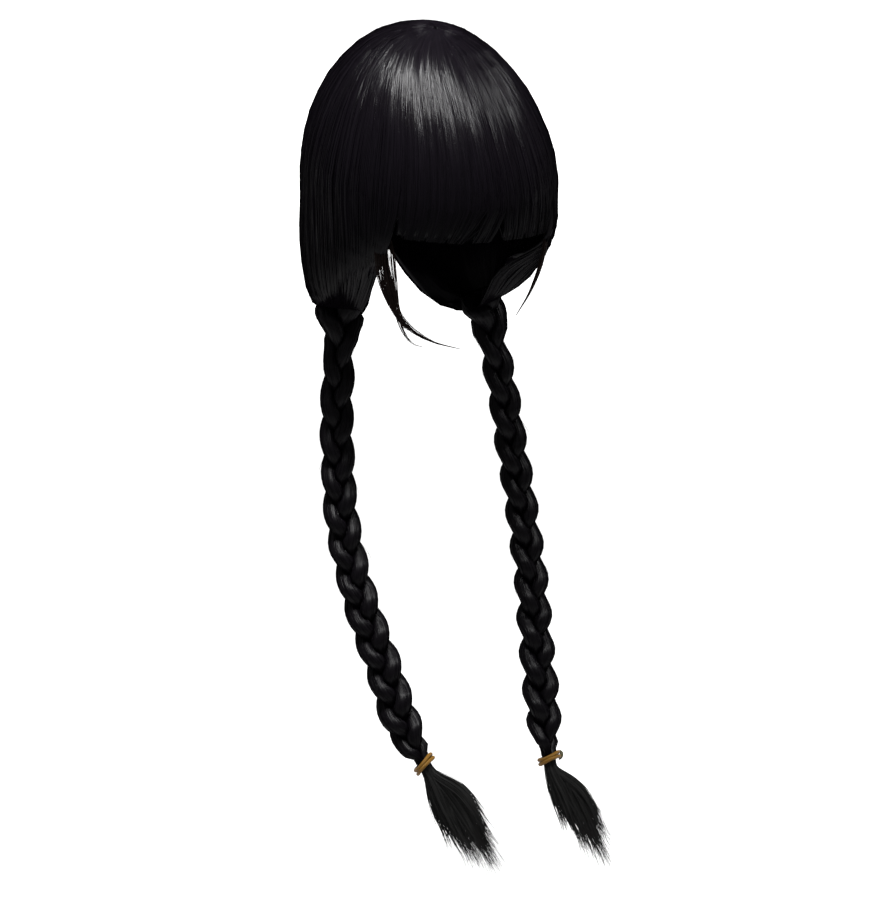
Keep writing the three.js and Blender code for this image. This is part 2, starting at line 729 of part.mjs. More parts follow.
// The loose tail under an elastic: seven tapering locks that fan out from one root, cut level at its top.
function tailGeometry(hand) {
  const { centre, axis, across, outwards } = braidLine(hand).frame(1);
  const reach = place(hand, tailEnds[hand]);
  const start = centre.clone().addScaledVector(axis, braid.endGap);
  const solids = tailLocks.map((lock) => {
    const root = start.clone().addScaledVector(axis, -tail.rootOver);
    const rootShift = tail.rootSpread * braidEnd;
    root.addScaledVector(across, lock.across * rootShift).addScaledVector(outwards, lock.depth * rootShift);
    const below = root.clone().addScaledVector(axis, tail.neck);
    const end = start.clone().addScaledVector(reach, lock.length);
    end.addScaledVector(across, lock.across * tail.fan).addScaledVector(outwards, lock.depth * tail.depth);
    const spread = start.clone().addScaledVector(reach, tail.spreadAt);
    spread.addScaledVector(across, lock.across * tail.fan * tail.spreadAcross + tailEnds[hand].lean);
    spread.addScaledVector(outwards, lock.depth * tail.depth * tail.spreadDeep);
    const curve = new THREE.CatmullRomCurve3([root, below, spread, end], false, "centripetal");
    const widths = Array.from({ length: tail.stations + 1 }, (_, k) => {
      const share = k / tail.stations;
      const body = lerp(tail.root * braidEnd, tail.belly * lock.girth, smooth(share / tail.bellyFrom));
      return Math.max(tail.finest, body * (1 - smooth((share - tail.fullTo) / (1 - tail.fullTo))));
    });
    const thicks = widths.map((wide) => wide * tail.flatness);
    return solidOf(lockGeometry(curve, across, widths, thicks, tail.sides));
  });
  const fused = solids.reduce((sum, solid) => sum.add(solid));
  return geometryFrom(fused.trimByPlane(axis.toArray(), axis.dot(start)));
}

// The free locks of one temple fused into one body, grown by a margin.
function templeSolid(hand, margin) {
  const wideWay = new THREE.Vector3(mirrorOf[hand] * temple.wideOut, temple.wideBack, 0);
  const { length, width, thick } = templeSizes[hand];
  const solids = templeLocks[hand].map((lock) => {
    const points = lock.route.map(({ down, out, front }) =>
      place(hand, {
        out: out * head.halfBreadth,
        front: front * head.halfLength,
        drop: temple.rootDrop + down * length,
      }),
    );
    const curve = new THREE.CatmullRomCurve3(points, false, "centripetal");
    const shares = Array.from({ length: temple.stations + 1 }, (_, k) => {
      const share = k / temple.stations;
      const rooted = lerp(temple.root, 1, smooth(share / temple.fullAt));
      return rooted * lerp(1, temple.tip, smooth((share - temple.fullAt) / (1 - temple.fullAt)));
    });
    const widths = shares.map((share) => lock.width * width * share + margin);
    const thicks = shares.map((share) => Math.max(temple.finest, lock.thick * thick * share) + margin);
    return solidOf(lockGeometry(curve, wideWay, widths, thicks, temple.sides));
  });
  return solids.reduce((sum, solid) => sum.add(solid));
}

const wig = new THREE.Group();

function addPiece(name, geometry, material) {
  geometry.computeVertexNormals();
  const mesh = new THREE.Mesh(geometry, new THREE.MeshStandardMaterial(material));
  mesh.name = name;
  wig.add(mesh);
}

addPiece("cap", capGeometry(), materials.cap);
addPiece("bangs", fringeGeometry(), materials.hair);
for (const hand of ["right", "left"]) {
  addPiece(`side_hair_${hand}`, sideGeometry(hand), materials.hair);
  addPiece(`temple_lock_${hand}`, geometryFrom(templeSolid(hand, 0)), materials.hair);
  for (const index of [0, 1, 2]) {
    addPiece(`braid_${hand}_strand_${index + 1}`, strandGeometry(hand, index), materials.hair);
  }
  addPiece(`elastic_${hand}`, elasticGeometry(hand), materials.elastic);
  addPiece(`tail_${hand}`, tailGeometry(hand), materials.tail);
}

export default wig;
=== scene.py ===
"""Looks of a pigtail wig: a smooth dome of straight dark hair with a blunt fringe, two long braids with amber
elastics and loose tails, and free locks at the temples, on a net cap.

Metres, +Z up. The wearer looks along -Y and the wearer's right is at -X. The origin is the inner vertex of the cap.
"""

import math
from types import SimpleNamespace as Sizes

import bpy
import numpy as np
from bpy.props import FloatProperty, FloatVectorProperty, IntProperty, PointerProperty
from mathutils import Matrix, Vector


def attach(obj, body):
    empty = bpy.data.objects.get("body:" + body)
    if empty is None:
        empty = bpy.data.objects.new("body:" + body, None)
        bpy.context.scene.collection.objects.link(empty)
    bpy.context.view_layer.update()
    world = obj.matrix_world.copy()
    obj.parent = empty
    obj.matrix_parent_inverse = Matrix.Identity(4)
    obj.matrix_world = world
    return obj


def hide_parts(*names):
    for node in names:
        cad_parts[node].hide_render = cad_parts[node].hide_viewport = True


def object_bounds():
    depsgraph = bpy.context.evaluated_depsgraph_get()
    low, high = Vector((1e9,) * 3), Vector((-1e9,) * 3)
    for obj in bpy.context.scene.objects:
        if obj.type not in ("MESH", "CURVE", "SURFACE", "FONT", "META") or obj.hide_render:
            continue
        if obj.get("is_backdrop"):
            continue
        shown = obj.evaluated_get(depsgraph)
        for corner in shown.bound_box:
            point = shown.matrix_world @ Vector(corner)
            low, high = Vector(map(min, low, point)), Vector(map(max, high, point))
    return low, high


bl_info = {
    "name": "Pigtail wig",
    "version": (1, 0, 0),
    "blender": (4, 5, 0),
    "location": "3D View > Sidebar > Wig",
    "description": "Dresses a braided wig with strands of hair, elastics and a net cap",
    "category": "Object",
}

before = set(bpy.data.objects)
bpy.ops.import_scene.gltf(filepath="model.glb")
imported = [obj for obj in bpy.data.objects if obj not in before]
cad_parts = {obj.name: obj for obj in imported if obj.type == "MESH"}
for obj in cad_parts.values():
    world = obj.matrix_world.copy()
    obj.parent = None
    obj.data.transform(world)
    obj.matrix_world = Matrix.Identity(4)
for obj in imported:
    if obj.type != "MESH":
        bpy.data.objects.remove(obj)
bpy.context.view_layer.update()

# The head that the cap is sized for, and the cap's wall and hairline.
HEAD = Sizes(half_breadth=0.072, half_length=0.087, crown=0.092, neck_radius=0.046, neck_back=0.012, neck_drop=0.11)
CAP = Sizes(
    wall=0.0016, forehead_drop=0.046, ear_drop=0.084, nape_drop=0.138, turns=72, levels=20,
    weft_rows=9, first_weft=0.2, last_weft=0.97, weft_radius=0.0006,
)

# How far the hair stands out from the head, and the dome that it makes.
VOLUME = Sizes(side=0.016, front=0.021, back=0.023, top=0.017)
DOME = Sizes(
    half_breadth=HEAD.half_breadth + VOLUME.side,
    front=HEAD.half_length + VOLUME.front,
    back=HEAD.half_length + VOLUME.back,
    rise=HEAD.crown + VOLUME.top,
    front_fullness=1.56,
    back_fullness=2.19,
    whorl_front=0.015,
    whorl_radius=0.002,
    top_spread=math.radians(22),
)

FRINGE = Sizes(
    half_angle=math.radians(40), hang=0.025, edge_slant=0.006, tuck=0.006,
    thick_top=0.018, thick_edge=0.003, slit_height=0.025, slit_reach=0.3,
)
# The ragged edge of the fringe: how its clumps pull strands together, and how long its strands are, as shares of the
# way down.
EDGE = Sizes(
    clumps=44, least_pull=0.05, most_pull=0.35, pull_height=0.016, length=0.998, clump_spread=0.003,
    strand_spread=0.006, middle_longer=0.014, corners_shorter=0.026, right_corner=0.13, left_corner=0.08,
)
# The slits in the fringe: places across as shares of the dome's half breadth, heights as shares of slit_height.
SLITS = (
    Sizes(top=-0.034, height=1.0, left=-0.235, right=-0.15),
    Sizes(top=0.108, height=0.84, left=0.018, right=0.125),
)

# Guide lines of the side hair, front to back: the angle at which each leaves the dome's widest line, where it
# hangs and sweeps, as shares of the fall to the gather, and its place round the gather.
GUIDE_COLUMNS = ("angle", "hang_angle", "hang", "drawn", "sweep", "sweep_share", "gather_angle")
SIDE_GUIDES = np.array([
    (40, 46, 0.33, 0.98, 0.66, 0.50, 142),
    (58, 59, 0.39, 0.98, 0.74, 0.48, 96),
    (80, 79, 0.54, 1.00, 0.84, 0.40, 45),
    (104, 103, 0.65, 1.02, 0.86, 0.38, -5),
    (130, 129, 0.66, 0.98, 0.91, 0.42, -60),
    (156, 154, 0.64, 0.93, 0.99, 0.50, -130),
    (180, 179, 0.60, 0.88, 1.06, 0.55, -206),
])
SIDE = Sizes(thick_top=0.018, thick_hang=0.008, thick_front=0.004, front_share=0.25, part_gap=0.0007, roll_from=0.3)
GATHER = Sizes(out=0.020, deep=0.016, core=0.25)
# The tuck of the side hair into the gather: where on the way it starts, how far along the braid it ends, and how far
# it is drawn in.
TUCK = Sizes(start=0.84, along=0.012, drawn_in=0.78)

# The strands laid on these forms: how far they wander aside, swell, wave and lift, how much they lean along
# themselves in broad and in fine groups, how round they are shaded, and how far the shell lies below them.
STRAND = Sizes(
    wander=0.0012, swell=0.0005, wave=0.0004, lift=0.0004, broad_lean=0.065, fine_lean=0.05, round=0.3, under=0.00012,
)

# The braids: drop of their tops, their fall to the elastic, how far out they hang and in front they end, the angle
# that they face, and how late the crossings near the top come, as a share of the length.
BRAID_SIZES = {
    "right": Sizes(
        top=0.181, fall=0.325, spread=0.073, reach=0.102, bend=-0.004, facing=math.radians(-20), late=0.042,
    ),
    "left": Sizes(
        top=0.188, fall=0.34, spread=0.077, reach=0.1, bend=0.002, facing=math.radians(2), late=0.018,
    ),
}
# The route of a braid: shares of its fall, its spread, its reach to the front and the bend of its end.
BRAID_ROUTE = (
    (0, 0.73, -0.325, 0), (0.045, 0.79, -0.28, 0), (0.105, 0.83, -0.242, 0), (0.19, 0.89, -0.186, 0),
    (0.28, 0.94, -0.13, 0), (0.37, 0.97, -0.065, 0), (0.46, 1.0, 0.02, 0), (0.55, 1.0, 0.13, 0),
    (0.635, 0.98, 0.27, 0), (0.72, 0.93, 0.42, 0), (0.8, 0.87, 0.58, 0), (0.885, 0.82, 0.74, 0),
    (0.95, 0.77, 0.87, 0.3), (1, 0.72, 1, 1),
)
BRAID = Sizes(
    swing=0.0063, weave=0.0042, strand_width=0.0068, strand_depth=0.0052, periods=4.33, late_rise=0.6,
    strand_gap=0.0004, crossing_gap=0.0006, softness=9, stations=150, sides=44,
    flutes=0.05, flyaway=0.0032,
)
# Girth of the braid along its length, as shares of the plain section.
BRAID_GIRTH = (
    (0, 1.25), (0.04, 1.5), (0.085, 1.05), (0.115, 0.88), (0.17, 0.94), (0.3, 0.98), (0.55, 1.02),
    (0.75, 1.08), (0.9, 1.12), (0.965, 0.84), (0.986, 0.46), (1, 0.42),
)
BRAID_END = BRAID_GIRTH[-1][1] * (BRAID.swing + BRAID.strand_width)
ELASTIC = Sizes(
    cord=0.00145, wraps=2, clear=0.0009, tilt=math.radians(-16), pitch=0.92, wobble=0.0003, twist=0.0004,
    stations=64, sides=14,
)

# Where the middle of each tail ends, and its locks across the fan.
TAIL_ENDS = {
    "right": Sizes(drop=0.07, out=-0.034, front=0.030, lean=0.002),
    "left": Sizes(drop=0.068, out=0.025, front=0.032, lean=0.001),
}
TAIL = Sizes(
    fan=0.015, depth=0.007, root=0.7, root_spread=0.22, belly=0.0066, neck=0.008, flatness=0.85, reach=1.03,
    bend=0.38, frayed=0.36, flare=0.004, wave=0.0008,
)
TAIL_LOCKS = (
    Sizes(across=-1.0, depth=0.1, length=0.8, girth=0.8),
    Sizes(across=-0.62, depth=-0.7, length=1.02, girth=0.95),
    Sizes(across=-0.3, depth=0.6, length=1.08, girth=1.0),
    Sizes(across=0.05, depth=-0.2, length=1.2, girth=1.05),
    Sizes(across=0.4, depth=0.6, length=1.18, girth=1.0),
    Sizes(across=0.72, depth=-0.5, length=1.0, girth=0.9),
    Sizes(across=1.0, depth=0.1, length=0.76, girth=0.8),
)

# Free locks at the temples. Places are shares: down of the length, out of the head's half breadth and front of
# its half length.
TEMPLE = Sizes(
    root_drop=0.096, wide_way=(0.75, 0.65, 0), wisps=np.array([-0.95, -0.7, -0.3, 0.0, 0.25, 0.6, 0.8, 0.95]),
    wisp_spread=0.1, frayed=0.3, stray=0.0006,
)
TEMPLE_LENGTH = {"right": 0.098, "left": 0.082}
TEMPLE_LOCKS = {
    "right": (
        Sizes(width=0.0066, thick=0.0014, hairs=1.0, route=(
            (0, 0.89, 0.63), (0.25, 0.86, 0.76), (0.51, 0.82, 0.76), (0.74, 0.74, 0.78), (0.87, 0.65, 0.84))),
        Sizes(width=0.0022, thick=0.0012, hairs=0.35, route=(
            (0.1, 0.875, 0.70), (0.5, 0.815, 0.765), (0.74, 0.74, 0.78), (0.85, 0.64, 0.85),
            (0.94, 0.46, 0.94), (1, 0.19, 1.03))),
        Sizes(width=0.0016, thick=0.001, hairs=0.2, route=(
            (0.2, 0.86, 0.745), (0.68, 0.757, 0.776), (0.85, 0.71, 0.816), (0.95, 0.64, 0.874), (0.98, 0.53, 0.92))),
    ),
    "left": (
        Sizes(width=0.0024, thick=0.0012, hairs=0.4, route=(
            (0, 0.89, 0.63), (0.28, 0.875, 0.736), (0.55, 0.82, 0.77), (0.8, 0.65, 0.85), (1, 0.42, 0.94))),
    ),
}

SIGN = {"right": -1.0, "left": 1.0}

# The camera: its direction, its distance from the point it was fitted to, and the point it looks at.
CAMERA = Sizes(azimuth=math.radians(-24), elevation=math.radians(20), distance=1.25, lens=66.5)
CAMERA_FITTED_TO = (0, -0.010, -0.287)
CAMERA_AIM = (-0.0003, -0.0134, -0.2958)
FLOOR_HALF = 14.0


# Numbers and directions

def smooth(x):
    x = np.clip(x, 0, 1)
    return x * x * (3 - 2 * x)


def lerp(a, b, t):
    return a + (b - a) * t


def unit(v):
    return v / np.maximum(np.linalg.norm(v, axis=-1, keepdims=True), 1e-12)


def joined(*values):
    """Values side by side on a new last axis."""
    return np.stack(np.broadcast_arrays(*values), -1)


def even(count):
    """Shares from 0 to 1 in even steps."""
    return np.linspace(0, 1, count)


def turns(count):
    """Angles once round in even steps."""
    return np.linspace(0, 2 * math.pi, count, endpoint=False)


def square_to(along, way):
    """The direction nearest to a way that is square to others."""
    return unit(way - along * (along @ way)[..., None])


def place(hand, out, front, drop):
    """A point given as out from the middle, in front of it and below the crown."""
    return np.array([SIGN[hand] * out, -front, -drop])


def ripple(x, seed, waves=6):
    """A smooth wave of x with no clear period, about -1 to 1."""
    chance = np.random.default_rng(seed)
    total = 0
    for wave in range(waves):
        total = total + np.sin(x * (1 + wave * 0.73) + chance.uniform(0, 2 * math.pi)) / (1 + 0.4 * wave)
    return total / 2.4


def spline(points, shares, steps=40):
    """Points at shares of the length of a smooth curve through the given points."""
    points = np.asarray(points, float)
    held = np.vstack([2 * points[0] - points[1], points, 2 * points[-1] - points[-2]])
    knots = np.sqrt(np.linalg.norm(np.diff(held, axis=0), axis=1))
    line = []
    for k in range(len(points) - 1):
        x0, x1, x2, x3 = held[k : k + 4]
        d0, d1, d2 = knots[k : k + 3]
        start = ((x1 - x0) / d0 - (x2 - x0) / (d0 + d1) + (x2 - x1) / d1) * d1
        end = ((x2 - x1) / d1 - (x3 - x1) / (d1 + d2) + (x3 - x2) / d2) * d1
        t = np.linspace(0, 1, steps, endpoint=False)[:, None]
        bend = 3 * (x2 - x1) - 2 * start - end
        line.append(x1 + start * t + bend * t**2 + (2 * (x1 - x2) + start + end) * t**3)
    line = np.vstack([*line, points[-1]])
    return evened(line, shares)


def read_line(line, places, at):
    """A line of points, known at some places, read at others."""
    return np.stack([np.interp(at, places, line[:, axis]) for axis in range(3)], -1)


def evened(line, shares):
    """Points at shares of a line's length."""
    length = np.concatenate([[0], np.cumsum(np.linalg.norm(np.diff(line, axis=0), axis=1))])
    return read_line(line, length, np.asarray(shares) * length[-1])


def eased(table, at):
    """Reads a table of places and values, with a soft step between its rows."""
    places, values = np.array(table, float).T
    row = np.clip(np.searchsorted(places, at) - 1, 0, len(places) - 2)
    share = smooth((at - places[row]) / (places[row + 1] - places[row]))
    return lerp(values[row], values[row + 1], share)


def between_rows(table, at):
    """Reads a table between its rows along smooth curves."""
    row = min(int(at), len(table) - 2)
    t = at - row
    before, first, second, after = (table[min(max(row + k, 0), len(table) - 1)] for k in (-1, 0, 1, 2))
    start, end = (second - before) / 2, (after - first) / 2
    bend = 3 * (second - first) - 2 * start - end
    return first + start * t + bend * t**2 + (2 * (first - second) + start + end) * t**3


# The forms that the hair follows

def outline(angle):
    """The dome's widest outline, seen from above, at an angle from the front."""
    reach = np.where(np.cos(angle) > 0, DOME.front, DOME.back)
    return DOME.half_breadth * np.sin(angle), -reach * np.cos(angle)


def dome_height(x, y):
    reach = np.where(y < 0, DOME.front, DOME.back)
    radius = np.maximum(np.hypot(x / DOME.half_breadth, y / reach), 1e-9)
    forward = (1 - y / reach / radius) / 2
    power = lerp(DOME.back_fullness, DOME.front_fullness, forward)
    return -HEAD.crown + DOME.rise * np.maximum(0, 1 - radius**power) ** (1 / power)


def on_dome(end_angle, share):
    """A place on a line of hair from the whorl to the widest outline."""
    bend = DOME.top_spread * math.sin(end_angle) * (1 + math.cos(end_angle))
    end_x, end_y = outline(end_angle + bend * (1 - smooth(share)))
    length = np.hypot(end_x, end_y + DOME.whorl_front)
    first = DOME.whorl_radius / length
    part = lerp(first, 1, share)
    x = end_x * part
    y = lerp(-DOME.whorl_front, end_y, part)
    return np.stack([x, y, dome_height(x, y)], -1)


def hairline(angle):
    back = (1 - np.cos(angle)) / 2
    over_ear = lerp(CAP.forehead_drop, CAP.ear_drop, smooth(back * 2))
    return np.where(back < 0.5, over_ear, lerp(CAP.ear_drop, CAP.nape_drop, smooth(back * 2 - 1)))


def in_head(points, margin):
    """Whether points lie in the head, grown by a margin, or in the room below it that narrows to the neck."""
    x, y, z = np.moveaxis(points, -1, 0)
    up = np.maximum(z + HEAD.crown, 0) / (HEAD.crown + margin)
    down = np.clip((-HEAD.crown - z) / HEAD.neck_drop, 0, 1)
    wide = lerp(HEAD.half_breadth + margin, HEAD.neck_radius, down)
    long = lerp(HEAD.half_length + margin, HEAD.neck_radius, down)
    return (x / wide) ** 2 + ((y - HEAD.neck_back * down) / long) ** 2 + up**2 < 1


def clear_depth(points, inward, depth, margin=CAP.wall + 0.0006):
    """The depth below points, up to the given one, that stays out of the head."""
    low, high = np.zeros_like(depth), np.array(depth, float)
    for _ in range(12):
        middle = (low + high) / 2
        inside = in_head(points + inward * middle[..., None], margin)
        high = np.where(inside, middle, high)
        low = np.where(inside, low, middle)
    return np.where(in_head(points + inward * depth[..., None], margin), low, depth)


def inwards_from(points):
    middle = np.zeros_like(points)
    middle[..., 2] = np.minimum(-HEAD.crown, points[..., 2])
    return unit(middle - points)


class HairSheet:
    """A surface of hair: lines of hair side by side, each with points at even shares of its way."""

    def __init__(self, lines, core=None):
        self.points = np.asarray(lines)
        across = np.gradient(self.points, axis=0)
        along = np.gradient(self.points, axis=1)
        out = unit(np.cross(along, across))
        inward = inwards_from(self.points)
        if core is not None:
            rolled = smooth((np.linspace(0, 1, self.points.shape[1]) - 0.75) / 0.2)[None, :, None]
            inward = lerp(inward, unit((core - self.points) * (1, 1, 0.2)), rolled)
        self.out = np.where((out * inward).sum(-1, keepdims=True) > 0, -out, out)
        self.length = np.linalg.norm(np.diff(self.points, axis=1), axis=-1).sum(1)
        widths = np.linalg.norm(np.diff(self.points, axis=0), axis=-1).sum(0)
        self.width = float(widths.max())

    def _read(self, grid, share, way):
        lines, steps = grid.shape[:2]
        a = np.clip(share, 0, 1) * (lines - 1)
        b = np.clip(way, 0, 1) * (steps - 1)
        i = np.minimum(a.astype(int), lines - 2)
        j = np.minimum(b.astype(int), steps - 2)
        u, v = (a - i)[..., None], (b - j)[..., None]
        near = lerp(grid[i, j], grid[i, j + 1], v)
        far = lerp(grid[i + 1, j], grid[i + 1, j + 1], v)
        return lerp(near, far, u)

    def at(self, share, way):
        return self._read(self.points, share, way)

    def outwards(self, share, way):
        return unit(self._read(self.out, share, way))

    def raised(self, share, way, height):
        return self.at(share, way) + self.outwards(share, way) * height[..., None]

    def flow(self, share, way, number):
        """Across the hair and along it in metres, and each strand's own number."""
        return joined(share * self.width, way * float(self.length.mean()), number)


def fringe_edge(share):
    return HEAD.crown + FRINGE.hang + FRINGE.edge_slant * (share - 0.5)


def fringe_sheet():
    lines = []
    for share in even(65):
        angle = lerp(-FRINGE.half_angle, FRINGE.half_angle, share)
        top = on_dome(angle, np.sin(even(48) * math.pi / 2))
        hang = even(12)[1:]
        x, y, z = top[-1]
        inset = 1 - FRINGE.tuck / DOME.front * hang**2
        below = joined(x, y * inset, lerp(z, -fringe_edge(share), hang))
        lines.append(evened(np.vstack([top, below]), even(61)))
    return HairSheet(lines)


def slit_share(slit):
    """The share across the fringe at which a slit starts."""
    angle = math.asin(slit.top)
    return 0.5 + angle / FRINGE.half_angle / 2


def parted(points, share):
    """Moves the ends of the fringe aside to open its slits."""
    first, second = SLITS
    height = points[..., 2] + fringe_edge(share)
    x = points[..., 0] / DOME.half_breadth
    x0 = np.sin(lerp(-FRINGE.half_angle, FRINGE.half_angle, share))
    open1, open2 = (np.clip(1 - height / (FRINGE.slit_height * slit.height), 0, 1) for slit in SLITS)
    left = (first.left - first.top) * open1 * np.exp(-np.abs(first.top - x0) / FRINGE.slit_reach)
    right = (second.right - second.top) * open2 * np.exp(-np.abs(x0 - second.top) / FRINGE.slit_reach)
    between = lerp(
        (first.right - first.top) * open1,
        (second.left - second.top) * open2,
        np.clip((x0 - first.top) / (second.top - first.top), 0, 1),
    )
    shift = np.where(x0 < first.top, left, np.where(x0 > second.top, right, between))
    moved = points.copy()
    moved[..., 0] = (x + shift) * DOME.half_breadth
    return moved


def braid_points(hand):
    sizes = BRAID_SIZES[hand]
    return np.array([
        place(hand, out * sizes.spread + bend * sizes.bend, front * sizes.reach, sizes.top + down * sizes.fall)
        for down, out, front, bend in BRAID_ROUTE
    ])


def gather_frame(hand):
    """The centre of the gather above a braid and the two directions of its section, on the +X side."""
    centre, following = (point * (SIGN[hand], 1, 1) for point in braid_points(hand)[:2])
    axis = unit(following - centre)
    across = square_to(axis, np.array([1.0, 0, 0]))
    frontwards = np.cross(across, axis)
    return centre, across, frontwards * (-1 if frontwards[1] > 0 else 1), axis


def gather_core(hand):
    """The centre of the gather and the way of its axis, on its own side."""
    centre, _, _, axis = gather_frame(hand)
    return centre * (SIGN[hand], 1, 1), axis * (SIGN[hand], 1, 1)


def side_sheet(hand):
    """The lines of one half of the side hair, from the whorl to the gather."""
    centre, across, frontwards, _ = gather_frame(hand)
    lines = []
    for share in even(73):
        row = between_rows(SIDE_GUIDES, share * (len(SIDE_GUIDES) - 1))
        guide = Sizes(**dict(zip(GUIDE_COLUMNS, row)))
        top = on_dome(math.radians(guide.angle), np.sin(even(48) * math.pi / 2))
        x, y = outline(math.radians(guide.hang_angle))
        hang = np.array([x * guide.drawn, y * guide.drawn, lerp(-HEAD.crown, centre[2], guide.hang)])
        turn = math.radians(guide.gather_angle)
        end = centre + across * GATHER.out * math.cos(turn) + frontwards * GATHER.deep * math.sin(turn)
        sweep = lerp(hang, end, guide.sweep_share)
        sweep[2] = lerp(-HEAD.crown, centre[2], guide.sweep)
        below = spline([top[-1], hang, sweep, end], even(60))[1:]
        lines.append(evened(np.vstack([top, below]), even(73)) * (SIGN[hand], 1, 1))
    return HairSheet(lines, core=gather_core(hand)[0])


class BraidLine:
    """The centre line of a braid, with its frame at any share of its length."""

    def __init__(self, hand):
        self.shares = even(500)
        self.line = spline(braid_points(hand), self.shares)
        self.tangent = unit(np.gradient(self.line, axis=0))
        self.length = float(np.linalg.norm(np.diff(self.line, axis=0), axis=1).sum())
        facing = BRAID_SIZES[hand].facing
        self.level = np.array([math.cos(facing), math.sin(facing), 0])

    def frame(self, share):
        share = np.atleast_1d(share)
        centre = read_line(self.line, self.shares, share)
        axis = unit(read_line(self.tangent, self.shares, share))
        across = square_to(axis, self.level)
        outwards = unit(np.cross(across, axis))
        return centre, axis, across, outwards


def strand_middles(turned, girth):
    """Where the three strands of a braid cross its section after a share of their turns."""
    turn = turned * BRAID.periods * 2 * math.pi + np.arange(3)[:, None] * 2 * math.pi / 3
    return np.stack([girth * BRAID.swing * np.sin(turn), girth * BRAID.weave * np.sin(2 * turn)], -1)


def strand_reach(index, middles, girth, turn):
    """From a strand's middle to its surface at a turn round it, held off its neighbours."""
    own = middles[index]
    ray = joined(np.cos(turn), np.sin(turn))
    wide, deep = girth * BRAID.strand_width, girth * BRAID.strand_depth
    limits = [1 / np.hypot(ray[..., 0] / wide, ray[..., 1] / deep)]
    for other in (k for k in range(3) if k != index):
        towards = middles[other] - own
        distance = np.linalg.norm(towards, axis=-1)
        lean = (ray * (towards / distance[:, None])).sum(-1)
        apart = np.abs(towards[:, 0]) / (math.sqrt(3) * BRAID.swing * girth)
        clear = (BRAID.strand_gap + BRAID.crossing_gap * np.maximum(0, 1 - apart)) * np.maximum(1, girth)
        limits.append(np.where(lean > 1e-3, (distance - clear) / 2 / np.maximum(lean, 1e-3), 1.0))
    return sum(limit**-BRAID.softness for limit in limits) ** (-1 / BRAID.softness)


# Meshes

def tubes(paths, radii, facing, flow, round_share=1.0, tilt=0.0):
    """Closed three-sided tubes, one for each path, as one part.

    A low round share shades them as one flat sheet, and the tilt leans that sheet along the hair.
    """
    along = unit(np.gradient(paths, axis=1))
    across = unit(np.cross(along, np.broadcast_to(facing, paths.shape)))
    other = np.cross(along, across)
    turn = np.arange(3) * 2 * math.pi / 3 + math.pi / 2
    ring = across[:, :, None] * np.cos(turn)[:, None] + other[:, :, None] * np.sin(turn)[:, None]
    points = paths[:, :, None] + ring * radii[:, :, None, None]
    count = np.arange(points.size // 3).reshape(points.shape[:3])
    after = np.roll(count, -1, axis=2)
    quads = np.stack([count[:, :-1], after[:, :-1], after[:, 1:], count[:, 1:]], -1).reshape(-1, 4)
    tris = np.vstack([count[:, 0, ::-1], count[:, -1]])
    flow = np.repeat(flow[:, :, None], 3, axis=2)
    leaning = (along * np.asarray(tilt)[..., None])[:, :, None]
    normals = unit(lerp(-other[:, :, None], ring, round_share) + leaning)
    return Sizes(
        points=points.reshape(-1, 3), quads=quads, tris=tris, flow=flow.reshape(-1, 3), normals=normals.reshape(-1, 3)
    )


NO_TRIS = np.empty((0, 3), int)


def turned_out(points, quads, tris, flow):
    """A closed part, with its faces turned so that they point out."""
    faces = np.vstack([quads[:, :3], quads[:, [0, 2, 3]], tris])
    a, b, c = (points[faces[:, k]] for k in range(3))
    if (a * np.cross(b, c)).sum() < 0:
        quads, tris = quads[:, ::-1], tris[:, ::-1]
    return Sizes(points=points, quads=quads, tris=tris, flow=flow)


def shell(outer, inner, flow):
    """A closed sheet between two grids of points."""
    rows, columns = outer.shape[:2]
    a = np.arange(rows * columns).reshape(rows, columns)
    b = a + rows * columns
    faces = [
        (a[:-1, :-1], a[:-1, 1:], a[1:, 1:], a[1:, :-1]),
        (b[:-1, :-1], b[1:, :-1], b[1:, 1:], b[:-1, 1:]),
        (a[:-1, 0], a[1:, 0], b[1:, 0], b[:-1, 0]),
        (a[1:, -1], a[:-1, -1], b[:-1, -1], b[1:, -1]),
        (a[0, 1:], a[0, :-1], b[0, :-1], b[0, 1:]),
        (a[-1, :-1], a[-1, 1:], b[-1, 1:], b[-1, :-1]),
    ]
    quads = np.vstack([np.stack(face, -1).reshape(-1, 4) for face in faces])
    points = np.vstack([outer.reshape(-1, 3), inner.reshape(-1, 3)])
    flow = flow.reshape(-1, 3)
    return turned_out(points, quads, NO_TRIS, np.vstack([flow, flow]))


def loft(rings, flow):
    """A closed body through rings of equal length, with a fan at each end."""
    rows, columns = rings.shape[:2]
    index = np.arange(rows * columns).reshape(rows, columns)
    after = np.roll(index, -1, axis=1)
    quads = np.stack([index[:-1], after[:-1], after[1:], index[1:]], -1).reshape(-1, 4)
    first, last = rows * columns, rows * columns + 1
    tris = np.vstack([
        np.stack([np.full(columns, first), after[0], index[0]], -1),
        np.stack([np.full(columns, last), index[-1], after[-1]], -1),
    ])
    points = np.vstack([rings.reshape(-1, 3), rings[0].mean(0), rings[-1].mean(0)])
    flow = np.vstack([flow.reshape(-1, 3), flow[0].mean(0), flow[-1].mean(0)])
    return turned_out(points, quads, tris, flow)


